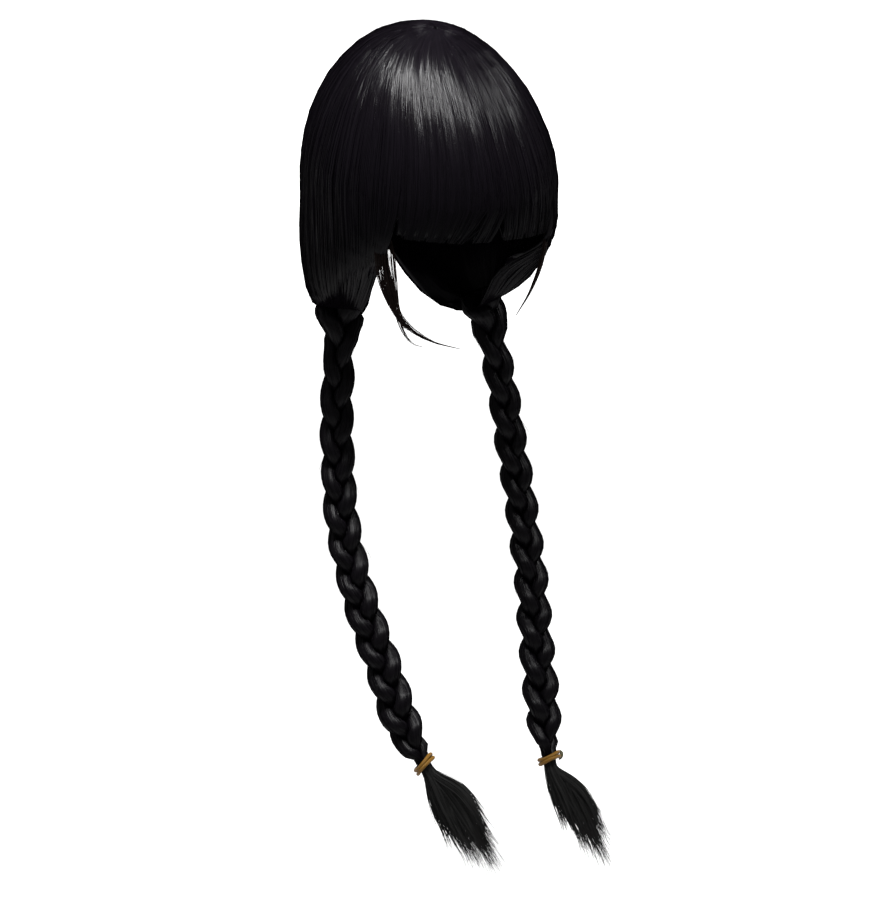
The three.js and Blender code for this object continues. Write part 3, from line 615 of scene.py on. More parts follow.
def new_mesh(name, parts):
    """One mesh from several parts, with the flow of the hair as an attribute and as its map."""
    start = np.cumsum([0] + [len(part.points) for part in parts])
    points = np.vstack([part.points for part in parts])
    flow = np.vstack([part.flow for part in parts])
    quads = np.vstack([part.quads + base for part, base in zip(parts, start)])
    tris = np.vstack([part.tris + base for part, base in zip(parts, start)])
    corners = np.concatenate([quads.ravel(), tris.ravel()]).astype(np.int32)
    starts = np.concatenate([np.arange(len(quads)) * 4, len(quads) * 4 + np.arange(len(tris)) * 3])
    mesh = bpy.data.meshes.new(name)
    mesh.vertices.add(len(points))
    mesh.vertices.foreach_set("co", points.astype(np.float32).ravel())
    mesh.loops.add(len(corners))
    mesh.loops.foreach_set("vertex_index", corners)
    mesh.polygons.add(len(starts))
    mesh.polygons.foreach_set("loop_start", starts.astype(np.int32))
    mesh.polygons.foreach_set("use_smooth", np.ones(len(starts), bool))
    mesh.update(calc_edges=True)
    held = mesh.attributes.new("flow", "FLOAT_VECTOR", "POINT")
    held.data.foreach_set("vector", flow.astype(np.float32).ravel())
    low, high = flow[:, :2].min(0), flow[:, :2].max(0)
    spread = 0.01 + 0.98 * (flow[:, :2] - low) / np.maximum(high - low, 1e-9)
    uv = mesh.uv_layers.new(name="OFBake")
    uv.data.foreach_set("uv", spread[corners].astype(np.float32).ravel())
    mesh.validate()
    normals = [getattr(part, "normals", np.zeros(part.points.shape)) for part in parts]
    mesh.normals_split_custom_set_from_vertices(np.vstack(normals).tolist())
    return mesh


def new_piece(name, parts, material, slot, *nodes):
    """An object that rides with the wig and stands for the named nodes."""
    piece = bpy.data.objects.new(name, new_mesh(name, parts))
    bpy.context.scene.collection.objects.link(piece)
    piece.data.materials.append(material)
    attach(piece, "root")
    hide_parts(*nodes)


# Materials

class Socket:
    """An output of a node that sums can be written with."""

    def __init__(self, shader, socket):
        self.shader = shader
        self.socket = socket

    def _sum(self, operation, first, second):
        return self.shader.node("ShaderNodeMath", {"operation": operation}, {0: first, 1: second})

    def __add__(self, other):
        return self._sum("ADD", self, other)

    def __sub__(self, other):
        return self._sum("SUBTRACT", self, other)

    def __mul__(self, other):
        return self._sum("MULTIPLY", self, other)

    def sine(self):
        return self.shader.node("ShaderNodeMath", {"operation": "SINE"}, {0: self})


class Shader:
    """A material and its nodes."""

    def __init__(self, name):
        self.material = bpy.data.materials.new(name)
        self.material.use_nodes = True
        self.tree = self.material.node_tree
        self.tree.nodes.clear()

    def node(self, kind, settings=None, sockets=None, output=0):
        """Adds a node: its settings first, then the values or links of its sockets. Gives one of its outputs."""
        made = self.tree.nodes.new(kind)
        for name, value in (settings or {}).items():
            setattr(made, name, value)
        for name, value in (sockets or {}).items():
            if isinstance(value, Socket):
                self.tree.links.new(value.socket, made.inputs[name])
            else:
                made.inputs[name].default_value = value
        return Socket(self, made.outputs[output]) if made.outputs else None

    def flow(self):
        """Across the hair, along it, and the strand's own number."""
        vector = self.node("ShaderNodeAttribute", {"attribute_name": "flow"}, output="Vector")
        return [self.node("ShaderNodeSeparateXYZ", {}, {0: vector}, output=k) for k in range(3)]

    def noise(self, x, y, scale, detail=2.0):
        vector = self.node("ShaderNodeCombineXYZ", {}, {0: x, 1: y})
        return self.node(
            "ShaderNodeTexNoise", {"noise_dimensions": "2D"}, {"Vector": vector, "Scale": scale, "Detail": detail}
        )

    def mixed(self, factor, first, second):
        return self.node(
            "ShaderNodeMix", {"data_type": "RGBA"}, {"Factor": factor, 6: (*first, 1), 7: (*second, 1)}, output=2
        )

    def bump(self, strength, distance, height):
        return self.node("ShaderNodeBump", {}, {"Strength": strength, "Distance": distance, "Height": height})

    def surface(self, **sockets):
        names = {name.replace("_", " "): value for name, value in sockets.items()}
        return self.node("ShaderNodeBsdfPrincipled", {}, names)

    def output(self, surface):
        self.node("ShaderNodeOutputMaterial", {}, {"Surface": surface})
        return self.material

    def finish(self, **sockets):
        return self.output(self.surface(**sockets))


def hair_material(name, dark, light, roughness, gloss, relief):
    """Straight fibre with long fine streaks among broader locks; its gloss fades where it turns away."""
    shader = Shader(name)
    across, along, chance = shader.flow()
    fine = shader.noise(across, along * 0.02, 1500)
    locks = shader.noise(across, along * 0.09, 190, detail=3.0)
    colour = shader.mixed(fine * 0.6 + chance * 0.4, dark, light)
    normal = shader.bump(relief, 0.0004, fine * 0.5 + locks)
    glossy = shader.surface(
        Base_Color=colour,
        Roughness=locks * 0.14 + chance * 0.08 + (roughness - 0.1),
        Specular_IOR_Level=gloss,
        Normal=normal,
    )
    matt = shader.surface(Base_Color=colour, Roughness=0.9, Specular_IOR_Level=0.0)
    turned_away = shader.node("ShaderNodeLayerWeight", {}, {"Blend": 0.5}, output="Facing")
    fading = shader.node(
        "ShaderNodeMath", {"operation": "SUBTRACT", "use_clamp": True}, {0: turned_away * 1.7, 1: 0.35}
    )
    return shader.output(shader.node("ShaderNodeMixShader", {}, {"Fac": fading, 1: glossy, 2: matt}))


def elastic_material(amber, olive):
    """Amber elastic with the ribs of its covered threads; its knot is darker."""
    shader = Shader("amber elastic")
    around, along, knot = shader.flow()
    ribs = ((around + along * 0.8) * 9000).sine()
    worn = shader.noise(around, along, 400)
    colour = shader.mixed(knot, amber, olive)
    normal = shader.bump(0.5, 0.0002, ribs * 0.5 + worn)
    return shader.finish(Base_Color=colour, Roughness=worn * 0.2 + 0.4, Specular_IOR_Level=0.15, Normal=normal)


def net_material(colour):
    """The cap's dark net: crossing threads on the round, matt and slightly uneven."""
    shader = Shader("cap net")
    around, down, _ = shader.flow()
    net = ((around + down) * 2600).sine() * ((around - down) * 2600).sine()
    patches = shader.noise(around, down, 60)
    tint = shader.mixed(net * 0.3 + patches * 0.6, [c * 0.6 for c in colour], [c * 1.35 for c in colour])
    normal = shader.bump(0.7, 0.0005, net)
    return shader.finish(Base_Color=tint, Roughness=patches * 0.15 + 0.75, Normal=normal)


def floor_material(colour):
    shader = Shader("pale floor")
    place_on_floor = shader.node("ShaderNodeTexCoord", {}, {}, output="Object")
    cloud = shader.node("ShaderNodeTexNoise", {}, {"Vector": place_on_floor, "Scale": 1.5, "Detail": 2.0})
    tint = shader.mixed(cloud, [c * 0.985 for c in colour], colour)
    return shader.finish(Base_Color=tint, Roughness=0.9, Specular_IOR_Level=0.1)


# Strands

def strand_count(count):
    return count


def spread_shares(chance, count):
    """Places side by side over 0 to 1, each a little out of its row."""
    return (np.arange(count) + chance.uniform(0, 1, count)) / count


def own_numbers(chance, count, steps):
    """Each strand's own number, the same all along it."""
    return np.repeat(chance.uniform(0, 1, (count, 1)), steps, axis=1)


def tapered(radius, ways, tip_from=0.9, tip=0.35, root=0.8):
    """The radii of strands along their way, thinner at the root and the tip."""
    fade = lerp(1, tip, smooth((ways - tip_from) / (1 - tip_from)))
    return radius[:, None] * fade * lerp(root, 1, smooth(ways / 0.16))


def laid_strands(sheet, chance, shares, start, end, lift, radius, steps, move):
    """Strands laid on a sheet of hair from one way to another, lifted off it by their own height, then moved."""
    count = len(shares)
    run = even(steps)
    run = run + 0.12 * run * (1 - run) * (1 + run)
    ways = lerp(start[:, None], end[:, None], run)
    phase = chance.uniform(0, 2 * math.pi, (count, 1))
    side_step = np.sin(ways * chance.uniform(3, 9, (count, 1)) + phase) * STRAND.wander / sheet.width
    share = shares[:, None] + side_step * smooth(ways / 0.3) * lerp(1, 0.25, smooth((ways - 0.7) / 0.2))
    place_across = shares[:, None] * sheet.width
    swell = STRAND.swell * ripple(place_across * 700 + ways * 3, 5)
    wave = ripple(place_across * 260, 12) * np.sin(ways * 31 + 3 * ripple(place_across * 240, 13))
    height = (lift[:, None] + swell + STRAND.wave * wave) * smooth(ways / 0.2)
    points = move(sheet.raised(share, ways, height), share, ways)
    broad = ripple(place_across * 300 + ways * 2, 14)
    tilt = STRAND.broad_lean * broad + STRAND.fine_lean * ripple(place_across * 1100, 15)
    flow = sheet.flow(share, ways, own_numbers(chance, count, steps))
    radii = tapered(radius, run[None, :], root=0.3)
    return tubes(points, radii, sheet.outwards(share, ways), flow, STRAND.round, tilt)


def fringe_parts(settings):
    """The fringe: three panels that part at the slits, under strands that run down to a ragged edge."""
    sheet = fringe_sheet()
    chance = np.random.default_rng(11)
    parts = []
    stops = [0.0, *(slit_share(slit) for slit in SLITS), 1.0]
    for low, high in zip(stops, stops[1:]):
        across = np.linspace(low + 1e-4, high - 1e-4, max(6, int((high - low) * 60)))
        share, way = np.meshgrid(across, np.linspace(0, 0.985, 30), indexing="ij")
        relief = 0.0004 * ripple(share * sheet.width * 500, 3)
        surface = sheet.raised(share, way, relief - STRAND.under)
        inward = inwards_from(surface)
        thick = lerp(FRINGE.thick_top, FRINGE.thick_edge, smooth((way - 0.45) / 0.45))
        under = surface + inward * clear_depth(surface, inward, thick)[..., None]
        parts.append(shell(parted(surface, share), parted(under, share), sheet.flow(share, way, 0.5)))

    clumps = np.sort(chance.uniform(0, 1, EDGE.clumps))
    pulls = chance.uniform(EDGE.least_pull, EDGE.most_pull, EDGE.clumps)
    hangs = chance.normal(0, EDGE.clump_spread, EDGE.clumps)

    def nearest(share):
        return np.abs(share[..., None] - clumps).argmin(-1)

    def ends(points, share, ways):
        clump = nearest(share)
        shift = (clumps[clump] - share) * pulls[clump] * sheet.width
        height = np.clip((points[..., 2] + fringe_edge(share)) / EDGE.pull_height, 0, 1)
        moved = parted(points, share)
        moved[..., 0] += shift * (1 - height) ** 2
        return moved

    def edge_way(shares):
        middle = (shares > stops[1]) & (shares < stops[2])
        ragged = hangs[nearest(shares)] + chance.normal(0, EDGE.strand_spread, len(shares))
        right = np.clip(1 - shares / EDGE.right_corner, 0, 1) ** 2
        left = np.clip(1 - (1 - shares) / EDGE.left_corner, 0, 1) ** 2
        return EDGE.length + ragged + EDGE.middle_longer * middle - EDGE.corners_shorter * (right + left)

    count = strand_count(settings.fringe_strands)
    shares = spread_shares(chance, count)
    radius = settings.strand_radius * chance.uniform(0.6, 1.25, count)
    lift = chance.uniform(-STRAND.lift, STRAND.lift, count)
    start = chance.uniform(0, 0.02, count)
    parts.append(laid_strands(sheet, chance, shares, start, edge_way(shares), lift, radius, 13, ends))
    count = strand_count(settings.fringe_strands // 3)
    shares = spread_shares(chance, count)
    radius = settings.strand_radius * chance.uniform(0.5, 1.0, count)
    lift = -chance.uniform(0.0005, FRINGE.thick_edge + 0.0012, count)
    start = np.full(count, 0.72)
    parts.append(laid_strands(sheet, chance, shares, start, edge_way(shares), lift, radius, 6, ends))
    parts.append(crossing_hairs(sheet, chance, settings))
    return parts


def crossing_hairs(sheet, chance, settings):
    """A few fine hairs that stray over the first slit of the fringe."""
    count = 16
    slit = SLITS[0]
    top = (slit_share(slit) + chance.uniform(-0.03, 0.03, count))[:, None]
    run = even(9)[None, :]
    ways = lerp(0.8, chance.uniform(0.96, 1.0, (count, 1)), run)
    share = top + 0 * ways
    points = sheet.at(share, ways)
    lean = lerp(slit.left, slit.right, chance.uniform(-0.3, 1.3, (count, 1)))
    height = (points[..., 2] + fringe_edge(top)) / FRINGE.slit_height
    points[..., 0] += (lean - slit.top) * DOME.half_breadth * np.clip(1 - height, 0, 1)
    radii = tapered(np.full(count, settings.strand_radius * 0.45), run)
    return tubes(points, radii, sheet.outwards(share, ways), sheet.flow(share, ways, 0.5))


def hang_depth(share):
    """How deep the side hair hangs, from its front edge to the back."""
    return lerp(SIDE.thick_front, SIDE.thick_hang, smooth(share / SIDE.front_share))


def side_parts(settings, hand):
    """One half of the side hair: a shell under layers of strands that tuck in at the gather."""
    sheet = side_sheet(hand)
    chance = np.random.default_rng(21 if hand == "right" else 22)
    core, axis = gather_core(hand)

    def tucked(points, share, ways):
        pull = smooth((ways - TUCK.start) / (1 - TUCK.start))[..., None]
        radial = points - core
        radial = radial - axis * (radial @ axis)[..., None]
        moved = lerp(points, core + axis * TUCK.along + radial * TUCK.drawn_in, pull)
        moved[..., 0] = SIGN[hand] * np.maximum(moved[..., 0] * SIGN[hand], SIDE.part_gap / 2)
        return moved

    share, way = np.meshgrid(even(78), even(34), indexing="ij")
    relief = 0.0005 * ripple(share * sheet.width * 420, 4)
    surface = sheet.raised(share, way, relief - STRAND.under)
    sweep = (way - 0.55) / 0.45
    rolled = smooth((sweep - SIDE.roll_from) / (1 - SIDE.roll_from))
    thick = lerp(SIDE.thick_top, hang_depth(share), smooth((way - 0.25) / 0.25))
    to_core = core - surface
    depth = lerp(thick, np.linalg.norm(to_core, axis=-1) * (1 - GATHER.core), rolled)
    inward = unit(lerp(inwards_from(surface), unit(to_core), rolled[..., None]))
    under = surface + inward * clear_depth(surface, inward, depth)[..., None]
    parts = [shell(tucked(surface, share, way), tucked(under, share, way), sheet.flow(share, way, 0.5))]

    count = strand_count(settings.side_strands)
    shares = spread_shares(chance, count)
    radius = settings.strand_radius * chance.uniform(0.65, 1.35, count)
    lift = chance.uniform(-STRAND.lift, STRAND.lift, count)
    start = chance.uniform(0, 0.02, count)
    parts.append(laid_strands(sheet, chance, shares, start, np.ones(count), lift, radius, 20, tucked))

    count = strand_count(settings.side_strands // 8)
    shares = lerp(0.12, 0.95, spread_shares(chance, count))
    run = even(13)[None, :]
    ways = lerp(0.5, chance.uniform(0.8, 0.86, (count, 1)), run)
    share = np.broadcast_to(shares[:, None], ways.shape)
    inner = sheet.raised(share, ways, -(hang_depth(share) + 0.0004))
    radii = tapered(settings.strand_radius * chance.uniform(0.6, 1.2, count), run)
    parts.append(tubes(inner, radii, -sheet.outwards(share, ways), sheet.flow(share, ways, 0.4), STRAND.round))
    return parts


def braid_parts(settings, hand, index):
    """One strand of a braid: a fluted body with loose surface hairs and a few flyaways."""
    line = BraidLine(hand)
    chance = np.random.default_rng(31 + 3 * (hand == "left") + index)
    turned = np.linspace(0.002, 1, BRAID.stations)
    share = np.minimum(turned + BRAID_SIZES[hand].late * np.sin(math.pi * turned**BRAID.late_rise), 1)
    girth = eased(BRAID_GIRTH, share)
    middles = strand_middles(turned, girth)
    centre, _, across, outwards = line.frame(share)

    def on_strand(turn, proud):
        reach = strand_reach(index, middles, girth, turn) * proud
        x = middles[index][:, 0] + reach * np.cos(turn)
        y = middles[index][:, 1] + reach * np.sin(turn)
        return centre + across * x[..., None] + outwards * y[..., None]

    turn = turns(BRAID.sides)[:, None] + 0 * share
    flutes = 1 + BRAID.flutes * ripple(turn * 7, 40 + index) * (1 + 0.3 * ripple(share * 60, 50 + index))
    flow = joined(turn * BRAID.strand_width, share * line.length, 0.5)
    parts = [loft(np.swapaxes(on_strand(turn, flutes), 0, 1), np.swapaxes(flow, 0, 1))]

    count = strand_count(settings.braid_hairs)
    turn = chance.uniform(0, 2 * math.pi, (count, 1))
    turn = turn + 0.25 * ripple(share * 25 + chance.uniform(0, 99, (count, 1)), 60)
    points = on_strand(turn, 1 + chance.uniform(0.0, 0.05, (count, 1)))
    numbers = own_numbers(chance, count, len(share))
    flow = joined(turn * BRAID.strand_width, share * line.length, numbers)
    radius = settings.strand_radius * chance.uniform(0.7, 1.3, count)
    facing = points - (centre + across * middles[index][:, :1] + outwards * middles[index][:, 1:])
    points, facing, flow = (values[:, ::2] for values in (points, facing, flow))
    parts.append(tubes(points, np.repeat(radius[:, None], points.shape[1], 1), facing, flow, STRAND.round))

    count = strand_count(settings.braid_hairs)
    begin = chance.integers(2, 130, count)
    run = even(7)[None, :]
    picks = begin[:, None] + run * chance.integers(5, 11, (count, 1))
    picks = np.clip(picks, 0, BRAID.stations - 1).astype(int)
    turn = chance.uniform(0, 2 * math.pi, (count, 1))
    points = np.take_along_axis(on_strand(turn + 0 * share, 1.02), picks[..., None], axis=1)
    away = unit(points - centre[picks])
    lift = run**2 * chance.uniform(0.0005, BRAID.flyaway, (count, 1))
    radii = tapered(np.full(count, settings.strand_radius * 0.35), run)
    parts.append(tubes(points + away * lift[..., None], radii, away, joined(turn * 0.006, picks * 0.002, 0.5)))
    return parts


def temple_curve(hand, lock, shares):
    points = [
        place(hand, out * HEAD.half_breadth, front * HEAD.half_length, TEMPLE.root_drop + down * TEMPLE_LENGTH[hand])
        for down, out, front in lock.route
    ]
    return spline(points, shares)


def bundle_frame(curve, places, ways, wide_way):
    """Points of a bundle's middle line at given ways, with its wide and its thin direction there."""
    middle = read_line(curve, places, ways)
    along = unit(np.gradient(middle, axis=1))
    across = square_to(along, wide_way)
    return middle, across, np.cross(along, across)


def temple_parts(settings, hand):
    """The free locks of one temple: thin flat bundles of hair that narrow to wisps."""
    chance = np.random.default_rng(71 if hand == "right" else 72)
    wide_way = unit(np.array(TEMPLE.wide_way) * (SIGN[hand], 1, 1))
    run, places = even(15)[None, :], even(120)
    parts = []
    for lock in TEMPLE_LOCKS[hand]:
        count = strand_count(int(settings.temple_hairs * lock.hairs))
        ways = run * (1 - TEMPLE.frayed * chance.uniform(0, 1, (count, 1)) ** 1.5)
        centre, across, other = bundle_frame(temple_curve(hand, lock, places), places, ways, wide_way)
        grown = lerp(0.85, 1, smooth(ways / 0.35)) * lerp(1, 0.15, smooth((ways - 0.5) / 0.5))
        wisp = TEMPLE.wisps[chance.integers(0, len(TEMPLE.wisps), (count, 1))]
        wisp = wisp + chance.normal(0, TEMPLE.wisp_spread, (count, 1))
        loose = chance.uniform(-1, 1, (count, 1))
        place_across = lerp(loose, np.clip(wisp, -1.1, 1.1), smooth(ways / 0.4)) * grown * lock.width
        place_deep = chance.uniform(-1, 1, (count, 1)) * grown * lock.thick
        stray = TEMPLE.stray * np.sin(ways * 5 + chance.uniform(0, 6, (count, 1))) * ways
        points = centre + across * (place_across + stray)[..., None] + other * place_deep[..., None]
        flow = joined(place_across, ways * TEMPLE_LENGTH[hand], own_numbers(chance, count, 15))
        radius = settings.strand_radius * chance.uniform(0.3, 0.6, count)
        parts.append(tubes(points, tapered(radius, run, tip=0.2), other, flow))
    return parts


def tail_parts(settings, hand):
    """A loose tail: seven clumps of hair that fan out from the elastic and fray to forked tips."""
    chance = np.random.default_rng(81 if hand == "right" else 82)
    centre, axis, across, outwards = (value[0] for value in BraidLine(hand).frame(1.0))
    ends = TAIL_ENDS[hand]
    reach = place(hand, ends.out, ends.front, ends.drop)
    start = centre + axis * 0.0005
    shift = TAIL.root_spread * BRAID_END
    run, places = even(15)[None, :], even(60)
    parts = []
    for number, lock in enumerate(TAIL_LOCKS):
        deep = outwards * lock.depth * TAIL.depth
        root = start + across * lock.across * shift + outwards * lock.depth * shift
        below = root + axis * TAIL.neck
        end = start + reach * lock.length * TAIL.reach + across * lock.across * TAIL.fan + deep
        spread = start + reach * TAIL.bend + across * (lock.across * TAIL.fan * 0.7 + ends.lean) + deep * 0.8
        curve = spline([root - axis * 0.001, below, spread, end], places)
        count = strand_count(settings.tail_hairs // len(TAIL_LOCKS))
        ways = run * (1 - TAIL.frayed * chance.uniform(0, 1, (count, 1)) ** 1.6)
        middle, side_way, other = bundle_frame(curve, places, ways, across)
        body = lerp(TAIL.root * BRAID_END, TAIL.belly * lock.girth, smooth(ways / 0.35))
        width = body * lerp(1, 0.3, smooth((ways - 0.5) / 0.5))
        angle = chance.uniform(0, 2 * math.pi, (count, 1))
        away = np.sqrt(chance.uniform(0, 1, (count, 1)))
        aside = width * away * np.cos(angle)
        flare = TAIL.flare * ways**3 * chance.normal(0, 1, (count, 1))
        thin = width * TAIL.flatness * away * np.sin(angle) + TAIL.wave * np.sin(ways * 9 + angle) * ways
        points = middle + side_way * (aside + flare)[..., None] + other * thin[..., None]
        flow = joined(number * 0.01 + aside, ways * 0.08, own_numbers(chance, count, 15))
        radius = settings.strand_radius * chance.uniform(0.45, 0.95, count)
        parts.append(tubes(points, tapered(radius, run, tip_from=0.6, tip=0.15), other, flow))
    return parts


def elastic_parts(hand):
    """The elastic: soft cord wound twice round the end of the braid; the left one also has the knot that joins it."""
    centre, axis, across, outwards = (value[0] for value in BraidLine(hand).frame(1.0))
    inside = BRAID_END + ELASTIC.clear + ELASTIC.cord
    turn, section = turns(ELASTIC.stations), turns(ELASTIC.sides)
    ray = across * np.cos(turn)[:, None] + outwards * np.sin(turn)[:, None]
    rows = np.arange(ELASTIC.stations * ELASTIC.sides).reshape(ELASTIC.stations, ELASTIC.sides)
    after, aside = np.roll(rows, -1, axis=0), np.roll(rows, -1, axis=1)
    quads = np.stack([rows, aside, np.roll(after, -1, axis=1), after], -1).reshape(-1, 4)
    flow = joined(turn[:, None] * inside, section * ELASTIC.cord, 0.0).reshape(-1, 3)
    parts = []
    for wrap in range(ELASTIC.wraps):
        up = (wrap - (ELASTIC.wraps - 1) / 2) * 2 * ELASTIC.cord * ELASTIC.pitch
        reach = inside + ELASTIC.wobble * np.sin(turn * 3 + wrap)
        rise = math.tan(ELASTIC.tilt) * np.cos(turn) * inside + ELASTIC.twist * np.sin(turn * 2 + wrap * 2)
        middle = centre + ray * reach[:, None] + axis * (up + rise)[:, None]
        sides = ray[:, None] * np.cos(section)[:, None] + axis * np.sin(section)[:, None]
        rings = middle[:, None] + ELASTIC.cord * sides
        parts.append(turned_out(rings.reshape(-1, 3), quads, NO_TRIS, flow))
    if hand == "left":
        parts.append(elastic_knot(centre, axis, across, inside))
    return parts


def elastic_knot(centre, axis, across, inside):
    """The small dark knot where the ends of the elastic meet."""
    places = ((0.0002, 0.002), (0.0022, -0.0002), (0.003, -0.0032), (0.0018, -0.0052))
    path = spline([centre + across * (inside + out) + axis * along for out, along in places], even(12))
    along = unit(np.gradient(path, axis=0))
    side_way = unit(np.cross(along, across + axis * 0.3))
    other = np.cross(along, side_way)
    turn = turns(10)[:, None]
    radius = 0.0015 * np.sin(np.linspace(0.35, math.pi - 0.35, 12))[:, None, None]
    rings = path[:, None] + radius * (side_way[:, None] * np.cos(turn) + other[:, None] * np.sin(turn))
    return loft(rings, np.ones((12, 10, 3)) * (0.0, 0.0, 1.0))


def cap_ring(share, margin):
    """A ring of the head, grown by a margin, at a share of the way from the crown to the hairline."""
    angle = turns(CAP.turns)
    rim = np.arccos((HEAD.crown - hairline(angle)) / (HEAD.crown + margin))
    drop = HEAD.crown - (HEAD.crown + margin) * np.cos(rim * share)
    level = (HEAD.crown - drop) / (HEAD.crown + margin)
    round_part = np.sqrt(np.maximum(0, 1 - level**2))
    x = (HEAD.half_breadth + margin) * round_part * np.sin(angle)
    y = -(HEAD.half_length + margin) * round_part * np.cos(angle)
    return np.stack([x, y, -drop], -1)


def cap_parts():
    """The net cap, with a rolled rim and rows of sewn weft inside."""
    levels = np.linspace(0.04, 1, CAP.levels)
    rings = [cap_ring(share, CAP.wall) for share in levels]
    rings += [cap_ring(1.0, CAP.wall / 2) + (0, 0, -CAP.weft_radius)]
    rings += [cap_ring(share, 0.0) for share in levels[::-1]]
    down = np.concatenate([levels, [1.0], levels[::-1]])[:, None]
    flow = joined(turns(CAP.turns) * 0.08, down * 0.14, 0.0)
    rows = np.linspace(CAP.first_weft, CAP.last_weft, CAP.weft_rows)
    wefts = np.array([cap_ring(share, -CAP.weft_radius) for share in rows])
    wefts = np.concatenate([wefts, wefts[:, :1]], axis=1)
    weft_flow = joined(np.linspace(0, 0.5, wefts.shape[1]), rows[:, None] * 0.14, 0.5)
    radii = np.full(wefts.shape[:2], CAP.weft_radius)
    return [loft(np.array(rings), flow), tubes(wefts, radii, (0.0, 0.0, 1.0), weft_flow)]


# Settings

def colour_setting(name, description, default):
    return FloatVectorProperty(
        name=name, description=description, default=default, subtype="COLOR", size=3, min=0, max=1,
    )


def count_setting(name, description, default, least):
    return IntProperty(name=name, description=description, default=default, min=least)


class WigHairSettings(bpy.types.PropertyGroup):
    """Sizes and colours of the hair, the elastics and the cap"""

    strand_radius: FloatProperty(
        name="Strand radius", description="Half the width of one small lock of fibres", default=0.00034,
        min=0.0001, max=0.001, unit="LENGTH", precision=5,
    )
    fringe_strands: count_setting("Fringe strands", "Strands laid on the fringe", 1500, 50)
    side_strands: count_setting("Side strands", "Strands laid on each side", 1250, 50)
    braid_hairs: count_setting("Braid hairs", "Loose hairs on each strand of a braid", 48, 4)
    temple_hairs: count_setting("Temple hairs", "Hairs in the main lock at the temple", 130, 8)
    tail_hairs: count_setting("Tail hairs", "Hairs in each loose tail", 900, 50)
    roughness: FloatProperty(
        name="Roughness", description="How broad the shine of the hair is", default=0.2, min=0.1, max=0.9,
        subtype="FACTOR",
    )
    gloss: FloatProperty(
        name="Gloss", description="How much light the fibre reflects", default=0.03, min=0, max=1, subtype="FACTOR",
    )
    dark: colour_setting("Dark fibre", "Colour in the shade of the locks", (0.0005, 0.0004, 0.0006))
    light: colour_setting("Light fibre", "Colour of the lightest fibres", (0.0016, 0.0012, 0.0019))
    temple: colour_setting("Temple locks", "Colour of the thin hair at the temples", (0.013, 0.0085, 0.0075))
    tail_dark: colour_setting("Dark tail", "Darker colour of the loose tails", (0.0035, 0.0035, 0.0035))
    tail_light: colour_setting("Light tail", "Lighter colour of the loose tails", (0.018, 0.018, 0.0178))
    amber: colour_setting("Elastic", "Colour of the elastics", (0.09, 0.042, 0.002))
    olive: colour_setting("Knot", "Colour of the elastic's knot", (0.03, 0.028, 0.01))
    net: colour_setting("Cap net", "Colour of the cap", (0.07, 0.067, 0.078))


def power_setting(name, description, default):
    return FloatProperty(name=name, description=description, default=default, unit="POWER")


class WigStageSettings(bpy.types.PropertyGroup):
    """The floor and the light"""

    floor_below: FloatProperty(
        name="Floor below", description="How far the floor lies below the tails", default=0.35, min=0,
        unit="LENGTH",
    )
    floor_colour: colour_setting("Floor", "Colour of the floor", (0.93, 0.93, 0.93))
    key: power_setting("Key light", "Power of the softbox over the crown", 24)
    fill: power_setting("Side light", "Power of the light at the side", 26)
    backdrop: power_setting("Floor light", "Power of the light on the floor", 870)
    surround: FloatProperty(name="Surround", description="Brightness of the room", default=0.66, min=0)


def hair_finish(hair, name):
    """The material of one kind of hair, made once: dark and light fibre, roughness, gloss and relief."""
    thin = [c * 0.4 for c in hair.temple]
    kinds = {
        "straight dark hair": (hair.dark, hair.light, hair.roughness, hair.gloss, 0.7),
        "braided dark hair": (hair.dark, hair.light, hair.roughness + 0.14, hair.gloss * 1.5, 0.9),
        "thin brownish hair": (thin, hair.temple, 0.4, hair.gloss, 0.5),
        "loose tail hair": (hair.tail_dark, hair.tail_light, 0.4, hair.gloss, 0.4),
    }
    return bpy.data.materials.get(name) or hair_material(name, *kinds[name])


# Operators

class WIG_OT_cap(bpy.types.Operator):
    """Make the net cap"""

    bl_idname = "wig.cap"
    bl_label = "Net cap"

    def execute(self, context):
        new_piece("net_cap", cap_parts(), net_material(context.scene.wig_hair.net), "cap_net", "cap")
        return {"FINISHED"}


class WIG_OT_fringe(bpy.types.Operator):
    """Make the fringe"""

    bl_idname = "wig.fringe"
    bl_label = "Fringe"

    def execute(self, context):
        hair = context.scene.wig_hair
        new_piece("fringe_hair", fringe_parts(hair), hair_finish(hair, "straight dark hair"), "hair", "bangs")
        return {"FINISHED"}


class WIG_OT_side_hair(bpy.types.Operator):
    """Make both halves of the side hair"""

    bl_idname = "wig.side_hair"
    bl_label = "Side hair"

    def execute(self, context):
        hair = context.scene.wig_hair
        material = hair_finish(hair, "straight dark hair")
        for hand in SIGN:
            new_piece(f"side_locks_{hand}", side_parts(hair, hand), material, "hair", f"side_hair_{hand}")
        return {"FINISHED"}


class WIG_OT_temple_locks(bpy.types.Operator):
    """Make the free locks at the temples"""

    bl_idname = "wig.temple_locks"
    bl_label = "Temple locks"

    def execute(self, context):
        hair = context.scene.wig_hair
        material = hair_finish(hair, "thin brownish hair")
        for hand in SIGN:
            new_piece(f"temple_hairs_{hand}", temple_parts(hair, hand), material, "hair", f"temple_lock_{hand}")
        return {"FINISHED"}


class WIG_OT_braids(bpy.types.Operator):
    """Make the three strands of each braid"""

    bl_idname = "wig.braids"
    bl_label = "Braids"

    def execute(self, context):
        hair = context.scene.wig_hair
        material = hair_finish(hair, "braided dark hair")
        for hand in SIGN:
            for index in range(3):
                node = f"braid_{hand}_strand_{index + 1}"
                new_piece(f"{node}_hair", braid_parts(hair, hand, index), material, "hair", node)
        return {"FINISHED"}


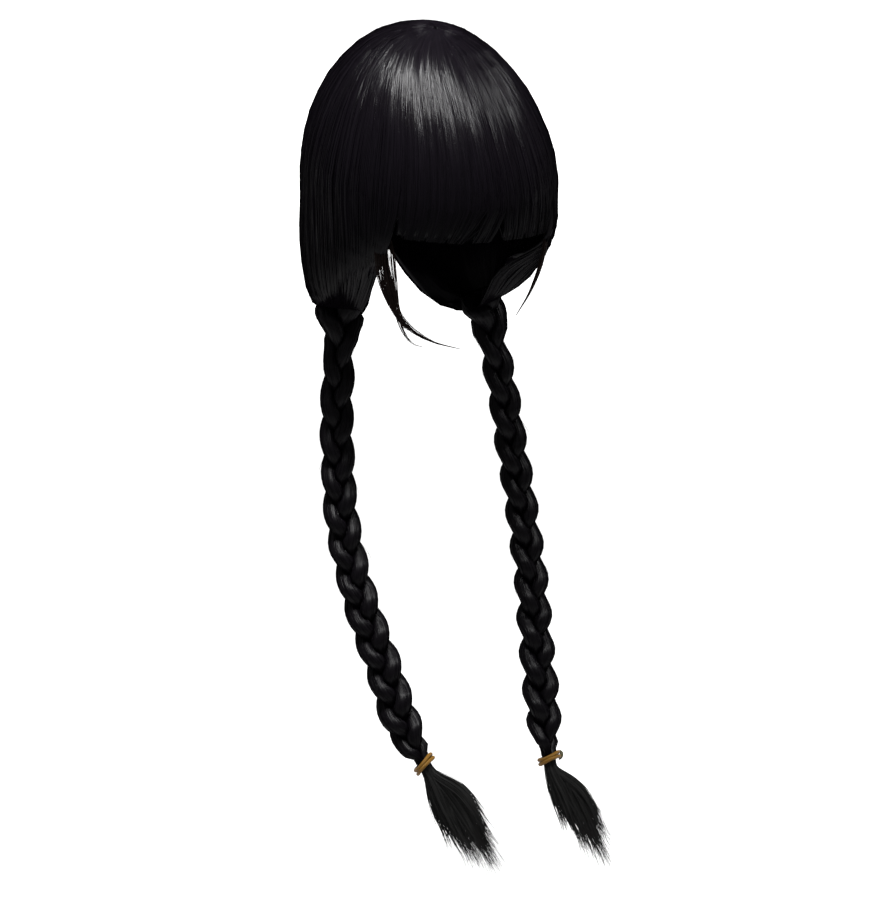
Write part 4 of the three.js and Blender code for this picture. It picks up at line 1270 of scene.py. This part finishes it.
class WIG_OT_elastics(bpy.types.Operator):
    """Make the elastics that tie the braids"""

    bl_idname = "wig.elastics"
    bl_label = "Elastics"

    def execute(self, context):
        hair = context.scene.wig_hair
        material = elastic_material(hair.amber, hair.olive)
        for hand in SIGN:
            new_piece(f"elastic_cord_{hand}", elastic_parts(hand), material, "elastic", f"elastic_{hand}")
        return {"FINISHED"}


class WIG_OT_tails(bpy.types.Operator):
    """Make the loose tails below the elastics"""

    bl_idname = "wig.tails"
    bl_label = "Tails"

    def execute(self, context):
        hair = context.scene.wig_hair
        material = hair_finish(hair, "loose tail hair")
        for hand in SIGN:
            new_piece(f"tail_hairs_{hand}", tail_parts(hair, hand), material, "hair_tail", f"tail_{hand}")
        return {"FINISHED"}


def placed(thing, position, target):
    """Adds a lamp or a camera to the scene, turned to a target."""
    thing.location = position
    thing.rotation_mode = "QUATERNION"
    thing.rotation_quaternion = (Vector(target) - Vector(position)).to_track_quat("-Z", "Y")
    bpy.context.scene.collection.objects.link(thing)


def softbox(name, position, target, size, power):
    light = bpy.data.lights.new(name, "AREA")
    light.shape = "RECTANGLE"
    light.size, light.size_y = size
    light.energy = power
    lamp = bpy.data.objects.new(name, light)
    lamp.visible_camera = False
    placed(lamp, position, target)


class WIG_OT_stage(bpy.types.Operator):
    """Make the floor, the lights and the camera"""

    bl_idname = "wig.stage"
    bl_label = "Stage"

    def execute(self, context):
        stage = context.scene.wig_stage
        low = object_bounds()[0].z - stage.floor_below
        mesh = bpy.data.meshes.new("floor")
        corners = [(x * FLOOR_HALF, y * FLOOR_HALF, low) for x, y in ((-1, -1), (1, -1), (1, 1), (-1, 1))]
        mesh.from_pydata(corners, [], [(0, 1, 2, 3)])
        floor = bpy.data.objects.new("floor", mesh)
        floor.data.materials.append(floor_material(stage.floor_colour))
        context.scene.collection.objects.link(floor)
        floor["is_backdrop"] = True

        world = bpy.data.worlds.new("studio")
        world.use_nodes = True
        background = world.node_tree.nodes["Background"]
        background.inputs["Color"].default_value = (1, 1, 1, 1)
        background.inputs["Strength"].default_value = stage.surround
        context.scene.world = world
        context.scene.view_settings.view_transform = "Standard"

        softbox("key over the crown", (-0.115, -0.122, 0.45), (-0.03, -0.09, 0), (0.41, 0.061), stage.key)
        softbox("side light", (0.75, -0.22, 0.9), (0, -0.04, -0.02), (0.3, 0.5), stage.fill)
        softbox("floor light", (1.9, 4.2, 3.5), (4.3, 9.7, low), (9, 6), stage.backdrop)

        level = math.cos(CAMERA.elevation)
        back = Vector((
            math.sin(CAMERA.azimuth) * level, -math.cos(CAMERA.azimuth) * level, math.sin(CAMERA.elevation),
        ))
        data = bpy.data.cameras.new("camera")
        data.lens = CAMERA.lens
        data.sensor_width = 36
        camera = bpy.data.objects.new("camera", data)
        placed(camera, Vector(CAMERA_FITTED_TO) + back * CAMERA.distance, CAMERA_AIM)
        context.scene.camera = camera
        return {"FINISHED"}


class WIG_PT_panel(bpy.types.Panel):
    """Settings and steps of the wig"""

    bl_label = "Pigtail wig"
    bl_idname = "WIG_PT_panel"
    bl_space_type = "VIEW_3D"
    bl_region_type = "UI"
    bl_category = "Wig"

    def draw(self, context):
        for settings in (context.scene.wig_hair, context.scene.wig_stage):
            for name in settings.bl_rna.properties.keys():
                if name not in ("rna_type", "name"):
                    self.layout.prop(settings, name)
        for operator in OPERATORS:
            self.layout.operator(operator.bl_idname)


OPERATORS = (
    WIG_OT_cap, WIG_OT_fringe, WIG_OT_side_hair, WIG_OT_temple_locks, WIG_OT_braids, WIG_OT_elastics, WIG_OT_tails,
    WIG_OT_stage,
)
CLASSES = (WigHairSettings, WigStageSettings, *OPERATORS, WIG_PT_panel)


def register():
    for cls in CLASSES:
        bpy.utils.register_class(cls)
    bpy.types.Scene.wig_hair = PointerProperty(type=WigHairSettings)
    bpy.types.Scene.wig_stage = PointerProperty(type=WigStageSettings)


def unregister():
    del bpy.types.Scene.wig_stage
    del bpy.types.Scene.wig_hair
    for cls in reversed(CLASSES):
        bpy.utils.unregister_class(cls)


def main():
    register()
    for step in ("cap", "fringe", "side_hair", "temple_locks", "braids", "elastics", "tails", "stage"):
        getattr(bpy.ops.wig, step)()


if __name__ == "__main__":
    main()
